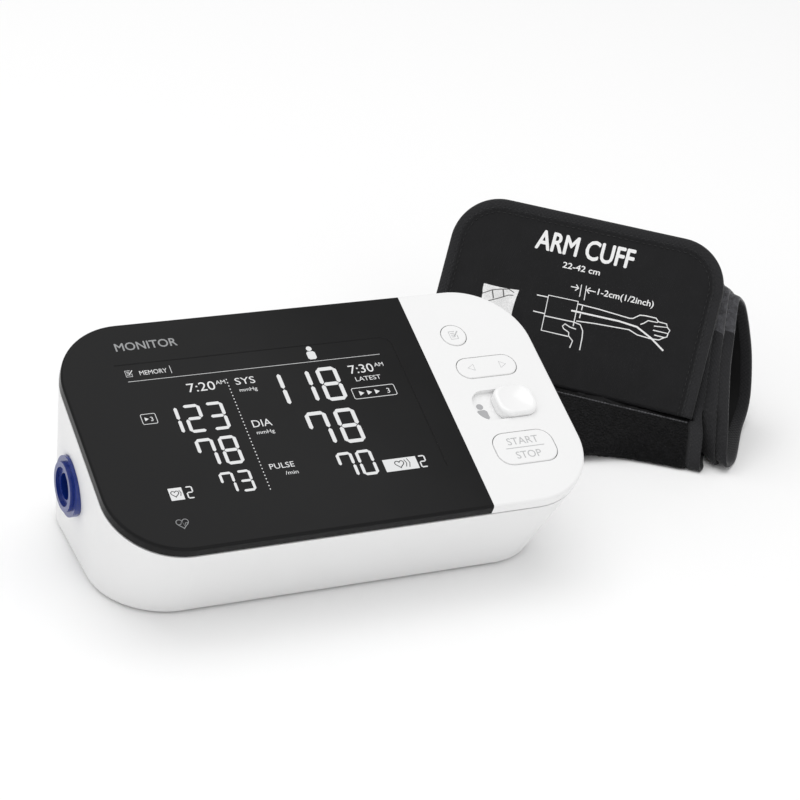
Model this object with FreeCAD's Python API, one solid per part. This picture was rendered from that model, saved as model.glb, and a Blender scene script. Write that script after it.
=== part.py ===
"""Home blood pressure set: a desk monitor with its keys, air jack and inner works, and an upper-arm cuff
rolled up behind it with its closing flap standing open.

Millimetres, +Z up.  X runs along the monitor, Y runs to the back, and the table top is Z = 0.
The origin lies on the table, under the middle of the lower front edge of the sloping top.
"""
import math
import os

import FreeCAD
import Part

os.makedirs("parts", exist_ok=True)
V = FreeCAD.Vector

# ---------------------------------------------------------------- monitor: driving dimensions
WIDTH = 191.0                 # overall width of the monitor
SLOPE = 23.58                 # slope of the top, degrees
RIM_FRONT_Z = 36.33           # height of the rim at the front
RIM_LENGTH = 104.06           # length of the rim up the slope
RIM_R = 27.4                  # corner radius of the rim
LID_T = 4.17                  # thickness of the lid above the rim
DRAFT_SIDE = 11.42            # inward taper of each side wall over 100 mm of depth
DRAFT_FRONT = 10.19           # the same for the front wall
DRAFT_BACK = 12.20            # the same for the back wall
WALL = 2.4                    # wall thickness of the lower case
CASE_Z = 0.8                  # underside of the case, held off the table by its feet
SEAL_T = 0.8                  # grey seal between the case and the lid
SPLIT_X = 48.0                # where the black window meets the white key panel
WINDOW_T = 2.0                # thickness of the window away from its rim
GAP = 0.3                     # clearance round every key

MEMORY_KEY = (63.64, 81.6, 5.4)                 # x, s, hole radius
ROCKER_KEY = (58.3, 84.0, 59.5, 70.0, 5.2)      # x0, x1, s0, s1, corner radius
SWITCH_SLOT = (58.3, 84.0, 39.0, 53.5, 6.0)
START_KEY = (58.3, 84.0, 17.0, 32.5, 6.0)
KEY_PROUD = 0.3               # how far the keys stand above the lid
KEY_FLANGE = 1.1              # width of the flange that keeps a key in its hole
SLOT_FLOOR_H = 2.3            # floor of the user switch's slot
KNOB_LENGTH = 16.5
KNOB_PROUD = 2.4              # how far the user switch's knob stands above the lid

JACK_Y = 63.4                 # centre of the air jack
JACK_Z = 33.4
JACK_FACE_X = -96.2
JACK_R = 11.5
JACK_BORE_R = 5.0
DC_X = 62.0                   # centre of the power inlet in the back wall
DC_Z = 27.0
DC_BORE_R = 2.8

BAY = (-30.3, 30.3, 45.5, 104.5)                # battery bay: x0, x1, y0, y1
BAY_TOP_Z = 20.4
CELL_R = 7.1
CELL_LENGTH = 50.0
FOOT_PLACES = ((-70, 33), (70, 33), (-65, 105), (65, 105))
SCREW_PLACES = ((-76, 46), (76, 46), (-68, 94), (68, 94))

# ---------------------------------------------------------------- cuff: driving dimensions
CUFF_ORIGIN = V(187.16, 80.70, 0)               # on the table, below the flap's right-hand edge
CUFF_TURN = -43.52            # heading of the roll's axis, degrees from +X
BAND_WIDTH = 121.0            # width of the band, so also the length of the roll
FLAP_LEAN = 31.89             # the flap leans back from upright, degrees
FLAP_FOOT_Z = 20.0            # the flap's face passes through this height above the cuff's origin
FLAP_LOW = -3.0               # lower and upper ends of the flap, measured up its face
FLAP_HIGH = 71.6
FLAP_R = 20.0
FLAP_T = 2.6
BINDING_W = 5.6
BINDING_PROUD = 0.5
BLADDER_T = 1.5               # layers of the rolled band, inside its cover
FORMER_T = 0.8
LINING_T = 1.3
PILE_T = 1.2
END_W = 5.0                   # width of the binding round each end of the roll
LABEL = (-102.2, -85.2, 16.0, 34.3)             # sewn label on the flap: u0, u1, w0, w1
OUTLET = (48.2, 27.0)            # centre of the tube outlet in the roll's far end: v, z
OUTLET_NECK_R = 1.9              # neck that passes through the end binding

# Section of the roll, (v, z) from the top round the back: right end, then the fuller middle.
ROLL_END = ((34.5, 66.0), (40.5, 63.6), (47.0, 56.0), (50.5, 42.0), (51.0, 27.0), (46.5, 10.5), (34.0, 1.4),
            (14.0, 0.1), (-3.0, 0.1), (-10.2, 1.6), (-6.0, 9.5), (7.3, 25.0), (17.9, 42.0), (27.2, 57.0))
ROLL_MIDDLE = ((34.5, 66.0), (40.5, 63.6), (47.0, 56.0), (50.5, 42.0), (51.0, 27.0), (46.5, 10.5), (34.0, 1.4),
               (12.0, 0.1), (-13.0, 0.1), (-25.5, 1.8), (-14.0, 10.0), (7.3, 25.0), (17.9, 42.0), (27.2, 57.0))


ROLL_HOLLOW = ((34.5, 60.2), (38.2, 58.6), (42.3, 53.0), (44.9, 41.2), (45.3, 27.5), (41.4, 13.5), (32.0, 7.0),
               (18.0, 5.9), (7.0, 6.8), (5.4, 11.5), (12.4, 24.0), (22.6, 40.0), (29.8, 53.5))


# ---------------------------------------------------------------- helpers
def box(x0, x1, y0, y1, z0, z1):
    return Part.makeBox(x1 - x0, y1 - y0, z1 - z0, V(x0, y0, z0))


def rod(centre, axis, radius, length):
    return Part.makeCylinder(radius, length, V(*centre), V(*axis))


def rounded_wire(x0, x1, y0, y1, r, z):
    """Closed outline of a rectangle with round corners, at height z."""
    d = r * (1 - math.sqrt(0.5))
    corners = (
        ((x0, y0 + r), (x0 + d, y0 + d), (x0 + r, y0)),
        ((x1 - r, y0), (x1 - d, y0 + d), (x1, y0 + r)),
        ((x1, y1 - r), (x1 - d, y1 - d), (x1 - r, y1)),
        ((x0 + r, y1), (x0 + d, y1 - d), (x0, y1 - r)),
    )
    edges = []
    for index, (start, middle, end) in enumerate(corners):
        edges.append(Part.Arc(V(*start, z), V(*middle, z), V(*end, z)).toShape())
        following = corners[(index + 1) % 4][0]
        if math.dist(end, following) > 0.01:
            edges.append(Part.makeLine(V(*end, z), V(*following, z)))
    return Part.Wire(edges)


def pad(x0, x1, y0, y1, r, z0, z1):
    """Plate with round corners between two heights."""
    if r <= 0:
        return box(x0, x1, y0, y1, z0, z1)
    face = Part.Face(rounded_wire(x0, x1, y0, y1, r, z0))
    return face.extrude(V(0, 0, z1 - z0))


def grown(outline, by):
    """The same round-cornered outline with every side moved out by a distance."""
    x0, x1, s0, s1, r = outline
    return x0 - by, x1 + by, s0 - by, s1 + by, r + by


def fuse(shapes):
    shapes = list(shapes)
    return shapes[0].multiFuse(shapes[1:]).removeSplitter() if len(shapes) > 1 else shapes[0]


def moved(shape, place):
    """A copy of a shape, carried along by a placement."""
    placed = shape.copy()
    placed.Placement = place.multiply(shape.Placement)
    return placed


def on_slope(shape):
    """Lay a shape drawn flat (x, s up the slope, h square to it) onto the monitor's sloping top."""
    return moved(shape, FreeCAD.Placement(V(0, 0, RIM_FRONT_Z), FreeCAD.Rotation(V(1, 0, 0), SLOPE)))


def save(name, *shapes):
    """Write one node; several loose solids share it as a compound."""
    shape = shapes[0] if len(shapes) == 1 else Part.makeCompound(list(shapes))
    shape.exportStep("parts/" + name + ".step")


# ---------------------------------------------------------------- monitor: case, lid and window
def case_loft(inset, top_h):
    """Tapering body of the case, with every wall moved in by a distance."""
    half = WIDTH / 2 - inset
    front = inset
    back = RIM_LENGTH - inset
    rise = top_h / 100
    upper = rounded_wire(-half - rise * DRAFT_SIDE, half + rise * DRAFT_SIDE, front - rise * DRAFT_FRONT,
                         back + rise * DRAFT_BACK, RIM_R - inset, top_h)
    lower = rounded_wire(-half + DRAFT_SIDE, half - DRAFT_SIDE, front + DRAFT_FRONT,
                         back - DRAFT_BACK, RIM_R - inset, -100)
    return Part.makeLoft([upper, lower], True, True)


def lower_case():
    """White tub with screw bosses, battery opening, jack hole, power inlet hole and foot pockets."""
    below = box(-150, 150, -60, 200, -120, CASE_Z)
    body = on_slope(case_loft(0, -SEAL_T)).cut(below)
    rim_edges = [e for e in body.Edges if all(abs(v.Z - CASE_Z) < 0.01 for v in e.Vertexes)]
    body = body.makeFillet(1.6, rim_edges)
    hollow = on_slope(case_loft(WALL, 1.0)).cut(box(-150, 150, -60, 200, -120, CASE_Z + WALL))
    body = body.cut(hollow)
    for x, y in SCREW_PLACES:
        body = body.fuse(rod((x, y, CASE_Z + WALL - 0.2), (0, 0, 1), 3.6, 22))
        body = body.cut(rod((x, y, 0), (0, 0, 1), 1.35, 20))
        body = body.cut(rod((x, y, 0), (0, 0, 1), 3.0, CASE_Z + 1.6))
    for x, y in FOOT_PLACES:
        body = body.cut(rod((x, y, 0), (0, 0, 1), 5.1, CASE_Z + 0.6))
    x0, x1, y0, y1 = BAY
    body = body.cut(pad(x0, x1, y0, y1, 2, 0, CASE_Z + WALL + 1))
    body = body.cut(rod((-110, JACK_Y, JACK_Z), (1, 0, 0), 8.6, 30))
    body = body.cut(rod((-110, JACK_Y, JACK_Z), (1, 0, 0), JACK_R + 0.1, 110 + JACK_FACE_X + 4.1))
    body = body.cut(rod((DC_X, 130, DC_Z), (0, -1, 0), 4.2, 30))
    return body.removeSplitter()


def rim_seal():
    """Thin grey line between the case and the lid."""
    half = WIDTH / 2
    outer = pad(-half + 0.7, half - 0.7, 0.7, RIM_LENGTH - 0.7, RIM_R - 0.7, -SEAL_T, 0)
    inner = pad(-half + 3.4, half - 3.4, 3.4, RIM_LENGTH - 3.4, RIM_R - 3.4, -SEAL_T - 1, 1)
    return on_slope(outer.cut(inner))


def lid_blank():
    """Whole lid before it is divided: straight sides and a softened upper edge."""
    half = WIDTH / 2
    blank = pad(-half, half, 0, RIM_LENGTH, RIM_R, 0, LID_T)
    edges = [e for e in blank.Edges if all(abs(v.Z - LID_T) < 0.01 for v in e.Vertexes)]
    return blank.makeFillet(1.1, edges)


def key_holes():
    """Everything cut out of the key panel for the keys and the user switch."""
    x, s, r = MEMORY_KEY
    holes = [rod((x, s, -1), (0, 0, 1), r, 10)]
    for outline in (ROCKER_KEY, START_KEY):
        holes.append(pad(*outline, -1, 10))
    holes.append(pad(*SWITCH_SLOT, SLOT_FLOOR_H, 10))
    x1 = SWITCH_SLOT[1]
    holes.append(box(x1 - KNOB_LENGTH, x1 - 5.2, 44.6, 47.9, -1, 10))
    return fuse(holes)


def top_cover():
    """White key panel with a shelf that carries the window and frames the display."""
    half = WIDTH / 2
    panel = lid_blank().common(box(SPLIT_X, half + 1, -1, RIM_LENGTH + 1, -1, 10))
    under = pad(SPLIT_X + 2.4, half - 2.6, 2.6, RIM_LENGTH - 2.6, 20, -1, 1.5)
    under = under.cut(pad(*grown(SWITCH_SLOT, 1.6), -2, 1.6))
    panel = panel.cut(under)
    shelf = pad(-half + 2.4, SPLIT_X + 1, 2.4, RIM_LENGTH - 2.4, 6, 0.2, LID_T - WINDOW_T - 0.1)
    trimmed = pad(-half + 2.4, half - 2.4, 2.4, RIM_LENGTH - 2.4, RIM_R - 2.4, 0, LID_T)
    shelf = shelf.common(trimmed)
    opening = pad(-76, 37, 19, 85, 4, -1, 10)
    cover = panel.fuse(shelf.cut(opening)).cut(key_holes())
    return on_slope(cover.removeSplitter())


def display_window():
    """Black glossy window, a shallow cap with its own rim."""
    half = WIDTH / 2
    cap = lid_blank().common(box(-half - 1, SPLIT_X - 0.05, -1, RIM_LENGTH + 1, -1, 10))
    pocket = pad(-half + 2.2, half - 2.2, 2.2, RIM_LENGTH - 2.2, RIM_R - 2.2, -1, LID_T - WINDOW_T)
    return on_slope(cap.cut(pocket.common(box(-half, SPLIT_X + 5, -1, RIM_LENGTH + 1, -2, 10))))


# ---------------------------------------------------------------- monitor: keys
def key_body(outline, stems):
    """Key cap with a flange under the lid and stems that reach its switches."""
    cap = pad(*grown(outline, -GAP), 0.3, LID_T + KEY_PROUD)
    edges = [e for e in cap.Edges if all(abs(v.Z - LID_T - KEY_PROUD) < 0.01 for v in e.Vertexes)]
    cap = cap.makeFillet(0.5, edges)
    flange = pad(*grown(outline, KEY_FLANGE - GAP), 0.2, 1.1)
    legs = [rod((x, s, -0.7), (0, 0, 1), 1.5, 1.4) for x, s in stems]
    return on_slope(fuse([cap, flange] + legs))


def memory_button():
    x, s, r = MEMORY_KEY
    cap = rod((x, s, 0.3), (0, 0, 1), r - GAP, LID_T + KEY_PROUD - 0.3)
    edges = [e for e in cap.Edges if e.Vertexes[0].Z > LID_T and len(e.Vertexes) == 1]
    cap = cap.makeFillet(0.5, edges)
    flange = rod((x, s, 0.2), (0, 0, 1), r + KEY_FLANGE - GAP, 0.9)
    leg = rod((x, s, -0.7), (0, 0, 1), 1.5, 1.4)
    return on_slope(fuse([cap, flange, leg]))


def rocker_middle():
    x0, x1, s0, s1, _ = ROCKER_KEY
    return (x0 + x1) / 2, (s0 + s1) / 2


def rocker_button():
    x, s = rocker_middle()
    return key_body(ROCKER_KEY, ((x - 8.5, s), (x + 8.5, s)))


def start_stop_button():
    x0, x1, s0, s1, _ = START_KEY
    return key_body(START_KEY, (((x0 + x1) / 2, (s0 + s1) / 2),))


def user_switch_knob():
    """Rounded knob with a dished top and a tongue through the slot's floor."""
    _, x1, s0, s1, _ = SWITCH_SLOT
    top = LID_T + KNOB_PROUD
    knob = pad(x1 - GAP - KNOB_LENGTH, x1 - GAP, s0 + GAP, s1 - GAP, 5.0, SLOT_FLOOR_H + 0.2, top)
    edges = [e for e in knob.Edges if all(abs(v.Z - top) < 0.01 for v in e.Vertexes)]
    knob = knob.makeFillet(1.3, edges)
    middle = (x1 - GAP - KNOB_LENGTH / 2, (s0 + s1) / 2)
    dish = Part.makeSphere(26, V(middle[0], middle[1], top + 26 - 0.9))
    knob = knob.cut(dish)
    tongue = box(x1 - 7.9, x1 - 5.6, 45.0, 47.5, -0.4, SLOT_FLOOR_H + 0.4)
    return on_slope(knob.fuse(tongue))


# ---------------------------------------------------------------- monitor: display and boards
def lcd_panel():
    return on_slope(pad(-77.5, 38.5, 17.5, 86.5, 1.5, -2.0, 0.1))


def lcd_backlight():
    return on_slope(pad(-77.5, 38.5, 17.5, 86.5, 1.5, -5.6, -2.2))


def lcd_holder():
    """Tray that clips the display and its backlight under the lid."""
    tray = pad(-80, 41, 15, 89, 3, -7.2, 0.1)
    tray = tray.cut(pad(-77.8, 38.8, 17.2, 86.8, 1.6, -5.8, 1))
    return on_slope(tray.cut(pad(-60, 20, 32, 72, 4, -9, 1)))


def main_board():
    return on_slope(pad(-80, 42, 14, 90, 3, -11.2, -9.6))


def board_spacers():
    places = ((-74, 20), (36, 20), (-74, 84), (36, 84))
    return [on_slope(rod((x, s, -9.5), (0, 0, 1), 2.2, 2.2)) for x, s in places]


def board_chips():
    """Controller, memory and capacitors on the main board's underside."""
    parts = [box(-30, -14, 45, 61, -12.8, -11.3), box(6, 14, 50, 58, -12.6, -11.3), box(-52, -42, 62, 68, -12.9, -11.3)]
    parts += [rod((x, 32, -17.3), (0, 0, 1), 2.6, 6.0) for x in (-10, -2)]
    return [on_slope(part) for part in parts]


def key_board():
    return on_slope(pad(51.5, 88, 13, 90, 4, -5.2, -3.6))


def switch_places():
    x, s, _ = MEMORY_KEY
    rocker_x, rocker_s = rocker_middle()
    x0, x1, s0, s1, _ = START_KEY
    return ((x, s), (rocker_x - 8.5, rocker_s), (rocker_x + 8.5, rocker_s), ((x0 + x1) / 2, (s0 + s1) / 2))


def tact_switches():
    """One push switch under each key, two under the rocker."""
    switches = []
    for x, s in switch_places():
        body = box(x - 3, x + 3, s - 3, s + 3, -3.5, -2.0)
        switches.append(on_slope(body.fuse(rod((x, s, -2.1), (0, 0, 1), 1.3, 0.4))))
    return switches


def slide_switch():
    body = box(61.5, 82.0, 43.2, 49.2, -3.5, -0.9)
    return on_slope(body.cut(box(63.5, 80.5, 44.4, 48.0, -2.2, 0)))


# ---------------------------------------------------------------- monitor: air side
def air_jack():
    """Stepped round socket for the cuff's air plug, on the left wall."""
    face = JACK_FACE_X
    steps = [
        rod((face + 1.4, JACK_Y, JACK_Z), (1, 0, 0), JACK_R, 2.6),
        rod((face, JACK_Y, JACK_Z), (1, 0, 0), 9.4, 3.0),
        rod((face + 1.0, JACK_Y, JACK_Z), (1, 0, 0), 8.3, 17.0),
    ]
    socket = fuse(steps)
    socket = socket.cut(rod((face - 1, JACK_Y, JACK_Z), (1, 0, 0), 7.4, 2.2))
    socket = socket.cut(rod((face - 1, JACK_Y, JACK_Z), (1, 0, 0), JACK_BORE_R, 11.2))
    return socket.cut(rod((face - 1, JACK_Y, JACK_Z), (1, 0, 0), JACK_BORE_R - 0.4, 15.0))


def air_nozzle():
    """Nozzle at the bottom of the jack and the barb behind it for the inner hose."""
    face = JACK_FACE_X
    nozzle = rod((face + 10.6, JACK_Y, JACK_Z), (1, 0, 0), 2.0, 3.4)
    barb = fuse([rod((face + 18.1, JACK_Y, JACK_Z), (1, 0, 0), 4.5, 1.5),
                 rod((face + 18.1, JACK_Y, JACK_Z), (1, 0, 0), 2.0, 8.0)])
    bore = rod((face, JACK_Y, JACK_Z), (1, 0, 0), 1.0, 40)
    return [nozzle.cut(bore), barb.cut(bore)]


def air_manifold():
    """Block that joins the jack, the pump, the valve and the sensor."""
    block = pad(-64, -48, 55.5, 71.5, 2, 23, 40)
    block = block.cut(rod((-66, JACK_Y, JACK_Z), (1, 0, 0), 2.1, 10))
    return block.cut(rod((-56, 63.4, 20), (0, 0, 1), 2.1, 9))


def hose(start, end, r_out, r_in):
    direction = V(*end).sub(V(*start))
    tube = Part.makeCylinder(r_out, direction.Length, V(*start), direction)
    return tube.cut(Part.makeCylinder(r_in, direction.Length + 2, V(*start).sub(direction.normalize()), direction))


def inner_hoses():
    """Hose from the jack to the block, and from the block across to the pump."""
    short = hose((JACK_FACE_X + 20.5, JACK_Y, JACK_Z), (-64.2, JACK_Y, JACK_Z), 3.4, 2.1)
    across = hose((-47.9, 63.4, 27.5), (41.9, 63.4, 27.5), 3.0, 1.6)
    return [short, across]


def pump_motor():
    """Round can of the pump's motor, with its end boss."""
    return fuse([rod((58, 66.1, 19), (0, 1, 0), 12.0, 23.4), rod((58, 66.1, 19), (0, 1, 0), 4.0, 25.4)])


def pump_head():
    """Three-chamber pump head in front of its motor, with an outlet towards the block."""
    head = rod((58, 46, 19), (0, 1, 0), 13.2, 20)
    head = head.fuse(rod((58, 42.5, 19), (0, 1, 0), 10.0, 5))
    return head.fuse(box(42, 50, 59.4, 65.9, 23.5, 31.5)).removeSplitter()


def pump_cradle():
    """Two saddles that carry the pump."""
    saddles = []
    for y, r in ((50, 13.3), (82, 12.1)):
        block = box(44, 72, y, y + 8, CASE_Z + WALL, 17)
        saddles.append(block.cut(rod((58, y - 1, 19), (0, 1, 0), r, 12)))
    return saddles


def exhaust_valve():
    """Coil valve that lets the cuff down, under the block."""
    coil = rod((-56, 63.4, CASE_Z + WALL), (0, 0, 1), 7.4, 15.5)
    return coil.fuse(rod((-56, 63.4, 18), (0, 0, 1), 2.0, 9.0))


def pressure_sensor():
    can = pad(-66, -54, 74, 84, 2, -15.4, -11.3)
    return on_slope(can.fuse(rod((-60, 79, -20), (0, 0, 1), 1.8, 5)))


def dc_jack():
    """Power inlet in the back wall: barrel with a centre pin."""
    back = back_wall_y(DC_Z)
    body = box(DC_X - 5, DC_X + 5, back - 12.7, back - 4.6, DC_Z - 5, DC_Z + 5)
    barrel = body.fuse(rod((DC_X, back - 5, DC_Z), (0, 1, 0), 4.0, 5.4))
    barrel = barrel.cut(rod((DC_X, back - 4.6, DC_Z), (0, 1, 0), DC_BORE_R, 8))
    barrel = barrel.cut(rod((DC_X, back - 10, DC_Z), (0, 1, 0), DC_BORE_R - 0.2, 12))
    return barrel.fuse(rod((DC_X, back - 11, DC_Z), (0, 1, 0), 0.95, 6.2)).removeSplitter()


def back_wall_y(z):
    """Y of the back wall's outer face at a height, in the middle of the wall."""
    slope = math.radians(SLOPE)
    depth = (RIM_FRONT_Z - z + RIM_LENGTH * math.sin(slope))
    depth /= math.cos(slope) + DRAFT_BACK / 100 * math.sin(slope)
    along = RIM_LENGTH - DRAFT_BACK / 100 * depth
    return along * math.cos(slope) + depth * math.sin(slope)


# ---------------------------------------------------------------- monitor: power and underside
def battery_bay():
    x0, x1, y0, y1 = BAY
    floor = CASE_Z + WALL
    outer = pad(x0 - 1.3, x1 + 1.3, y0 - 1.3, y1 + 1.3, 3, floor, BAY_TOP_Z + 1.3)
    bay = outer.cut(pad(x0, x1, y0, y1, 2, floor - 1, BAY_TOP_Z))
    pitch = (y1 - y0) / 4
    ribs = [box(x0 + 5, x1 - 5, y0 + k * pitch - 0.2, y0 + k * pitch + 0.2, 15.0, BAY_TOP_Z + 0.2) for k in (1, 2, 3)]
    return fuse([bay] + ribs)


def batteries():
    """Four AA cells side by side, turned end for end by turns."""
    _, _, y0, y1 = BAY
    pitch = (y1 - y0) / 4
    cells = []
    for k in range(4):
        y = y0 + (k + 0.5) * pitch
        z = BAY_TOP_Z - 0.5 - CELL_R
        sign = 1 if k % 2 else -1
        can = rod((-CELL_LENGTH / 2, y, z), (1, 0, 0), CELL_R, CELL_LENGTH - 1.2)
        if sign < 0:
            can = rod((-CELL_LENGTH / 2 + 1.2, y, z), (1, 0, 0), CELL_R, CELL_LENGTH - 1.2)
            cap = rod((-CELL_LENGTH / 2, y, z), (1, 0, 0), 2.7, 2)
        else:
            cap = rod((CELL_LENGTH / 2, y, z), (-1, 0, 0), 2.7, 2)
        cells.append(can.fuse(cap).removeSplitter())
    return cells


def battery_contacts():
    """A plate and a spring seat at each end of every cell."""
    x0, x1, y0, y1 = BAY
    pitch = (y1 - y0) / 4
    z = BAY_TOP_Z - 0.5 - CELL_R
    pieces = []
    for k in range(4):
        y = y0 + (k + 0.5) * pitch
        for side in (-1, 1):
            edge = side * (x1 - 0.1)
            inner = side * (x1 - 0.7)
            plate = box(min(edge, inner), max(edge, inner), y - 5.5, y + 5.5, z - 5, z + 5)
            seat = rod((inner - side * 0.1, y, z), (-side, 0, 0), 3.2, abs(inner) - CELL_LENGTH / 2 - 0.3)
            pieces.append(plate.fuse(seat.cut(rod((side * 20, y, z), (side, 0, 0), 2.2, 9.2))))
    return pieces


def battery_cover():
    """Lid of the battery bay with two hooks at the front and a spring latch at the back."""
    x0, x1, y0, y1 = BAY
    front = y0 + 0.7
    plate = pad(x0 + GAP, x1 - GAP, front, y1 - GAP, 2, CASE_Z, CASE_Z + 2.0)
    plate = plate.cut(pad(-9, 9, y1 - 8, y1 - 4, 1.5, CASE_Z - 1, CASE_Z + 0.7))
    latch = box(-8, 8, y1 - 2.0, y1 - 0.6, CASE_Z + 1.8, CASE_Z + 4.6)
    ribs = [box(x, x + 1.2, front + 6, y1 - 12, CASE_Z + 1.9, CASE_Z + 2.6) for x in (-20, 0, 18.8)]
    return fuse([plate, latch] + ribs)


def rubber_feet():
    feet = []
    for x, y in FOOT_PLACES:
        foot = rod((x, y, 0), (0, 0, 1), 5.0, CASE_Z + 0.5)
        edges = [e for e in foot.Edges if e.Vertexes[0].Z < 0.01 and len(e.Vertexes) == 1]
        feet.append(foot.makeFillet(0.3, edges))
    return feet


def case_screws():
    screws = []
    for x, y in SCREW_PLACES:
        head = rod((x, y, CASE_Z + 0.1), (0, 0, 1), 2.7, 1.4)
        shank = rod((x, y, CASE_Z + 1.4), (0, 0, 1), 1.3, 15)
        screw = head.fuse(shank)
        for turn in (0, 90):
            slot = box(-1.8, 1.8, -0.35, 0.35, 0, CASE_Z + 0.9)
            slot.Placement = FreeCAD.Placement(V(x, y, 0), FreeCAD.Rotation(V(0, 0, 1), turn))
            screw = screw.cut(slot)
        screws.append(screw.removeSplitter())
    return screws


# ---------------------------------------------------------------- cuff: the rolled band
def on_table(shape):
    """Turn and move a shape drawn along the roll (u, v, z) to the cuff's place on the table."""
    return moved(shape, FreeCAD.Placement(CUFF_ORIGIN, FreeCAD.Rotation(V(0, 0, 1), CUFF_TURN)))


def moved_in(points, depth):
    """Move a closed section inwards by a distance, point by point."""
    moved = []
    count = len(points)
    for index, (v, z) in enumerate(points):
        before = points[index - 1]
        after = points[(index + 1) % count]
        along = (after[0] - before[0], after[1] - before[1])
        size = math.hypot(*along)
        moved.append((v + depth * along[1] / size, z - depth * along[0] / size))
    return moved


def section_wire(points, u):
    curve = Part.BSplineCurve()
    curve.interpolate(Points=[V(u, v, z) for v, z in points], PeriodicFlag=True)
    return Part.Wire([curve.toShape()])


def roll_outside(depth=0.0):
    """Everything inside the roll's outer surface, fuller at the foot away from the near end.
    A depth moves that surface in, for the pile sewn on the foot.
    """
    lengths = ((30.0, ROLL_END), (-10.0, ROLL_END), (-45.0, ROLL_MIDDLE), (-150.0, ROLL_MIDDLE))
    return Part.makeLoft([section_wire(moved_in(points, depth), u) for u, points in lengths], True, True)


def roll_bore(growth):
    """The roll's hollow, grown outwards by a distance."""
    points = moved_in(ROLL_HOLLOW, -growth)
    return Part.makeLoft([section_wire(points, 30.0), section_wire(points, -150.0)], True, True)


def end_slab(near, far):
    """Slab between two slanting planes across the roll; near and far are distances in from each end."""
    def corner(inset, v, z):
        return V(17.3 - 0.2 * z + 0.1 * (v - 20) - inset, v, z)

    def face(inset):
        spots = ((-60, -20), (90, -20), (90, 110), (-60, 110))
        return Part.makePolygon([corner(inset, v, z) for v, z in spots] + [corner(inset, *spots[0])])

    return Part.makeLoft([face(near), face(far)], True, True)


def inner_layer(outer, inner, near, far):
    """One layer round the hollow between two distances from it, cut to a stretch of the roll's length."""
    return roll_bore(outer).cut(roll_bore(inner)).common(end_slab(near, far))


def end_bindings(wall):
    """Stitched binding folded over both ends of the roll."""
    return [wall.common(end_slab(0, END_W)), wall.common(end_slab(BAND_WIDTH - END_W, BAND_WIDTH))]


def tube_outlet():
    """Short moulded outlet for the air tube at the roll's far end."""
    v, z = OUTLET
    flange = rod((-107.7, v, z), (-1, 0, 0), 4.2, 2.4)
    spout = rod((-107.7, v, z), (-1, 0, 0), 3.4, 9.0)
    neck = rod((-102.5, v, z), (-1, 0, 0), OUTLET_NECK_R, 6.0)
    outlet = fuse([flange, spout, neck]).cut(rod((-127.7, v, z), (1, 0, 0), 2.0, 19.0))
    return on_table(outlet.cut(rod((-110, v, z), (1, 0, 0), 1.1, 10)))


# ---------------------------------------------------------------- cuff: the flap
def on_flap(shape):
    """Stand a shape drawn flat (u, w up the face, n out of the face) on the flap's leaning plane."""
    return moved(shape, FreeCAD.Placement(V(0, 0, FLAP_FOOT_Z), FreeCAD.Rotation(V(1, 0, 0), 90 - FLAP_LEAN)))


def flap_sheet(inset, n0, n1):
    """Sheet with two round upper corners, moved in from its free edges."""
    sheet = pad(-BAND_WIDTH + inset, -inset, FLAP_LOW - 60, FLAP_HIGH - inset, FLAP_R - inset, n0, n1)
    return sheet.common(box(-BAND_WIDTH - 5, 5, FLAP_LOW, FLAP_HIGH + 5, n0 - 1, n1 + 1))


def flap_room():
    """Space kept clear for the flap where it meets the roll."""
    return on_flap(box(-BAND_WIDTH - 30, 40, FLAP_LOW - GAP, FLAP_HIGH + 30, -FLAP_T - BINDING_PROUD - GAP, 60))


def flap_panel():
    return on_table(on_flap(flap_sheet(1.2, -FLAP_T, 0)))


def flap_binding():
    rim = flap_sheet(0, -FLAP_T - BINDING_PROUD, BINDING_PROUD)
    rim = rim.cut(flap_sheet(BINDING_W, -10, 10)).cut(flap_sheet(1.2, -FLAP_T, 0))
    return on_table(on_flap(rim))


def flap_hook():
    """Hook tape on the back of the flap, above the roll."""
    return on_table(on_flap(pad(-102, -19, 58.5, 65.5, 2, -FLAP_T - 1.0, -FLAP_T)))


def arm_label():
    """Small sewn label with the arm drawing."""
    return on_table(on_flap(pad(*LABEL, 2.0, 0, 0.35)))


# ---------------------------------------------------------------- write every node
def save_monitor():
    save("lower_case", lower_case())
    save("rim_seal", rim_seal())
    save("top_cover", top_cover())
    save("display_window", display_window())
    save("memory_button", memory_button())
    save("rocker_button", rocker_button())
    save("start_stop_button", start_stop_button())
    save("user_switch_knob", user_switch_knob())
    save("lcd_panel", lcd_panel())
    save("lcd_backlight", lcd_backlight())
    save("lcd_holder", lcd_holder())
    save("main_board", main_board())
    save("board_spacers", *board_spacers())
    save("board_chips", *board_chips())
    save("key_board", key_board())
    save("tact_switches", *tact_switches())
    save("slide_switch", slide_switch())
    save("air_jack", air_jack())
    save("air_nozzle", *air_nozzle())
    save("air_manifold", air_manifold())
    save("inner_hoses", *inner_hoses())
    save("pump_motor", pump_motor())
    save("pump_head", pump_head())
    save("pump_cradle", *pump_cradle())
    save("exhaust_valve", exhaust_valve())
    save("pressure_sensor", pressure_sensor())
    save("dc_jack", dc_jack())
    save("battery_bay", battery_bay())
    save("batteries", *batteries())
    save("battery_contacts", *battery_contacts())
    save("battery_cover", battery_cover())
    save("rubber_feet", *rubber_feet())
    save("case_screws", *case_screws())


def largest(shape):
    """The main solid of a shape, without any sliver a cut has left."""
    return max(shape.Solids, key=lambda solid: solid.Volume)


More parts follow.
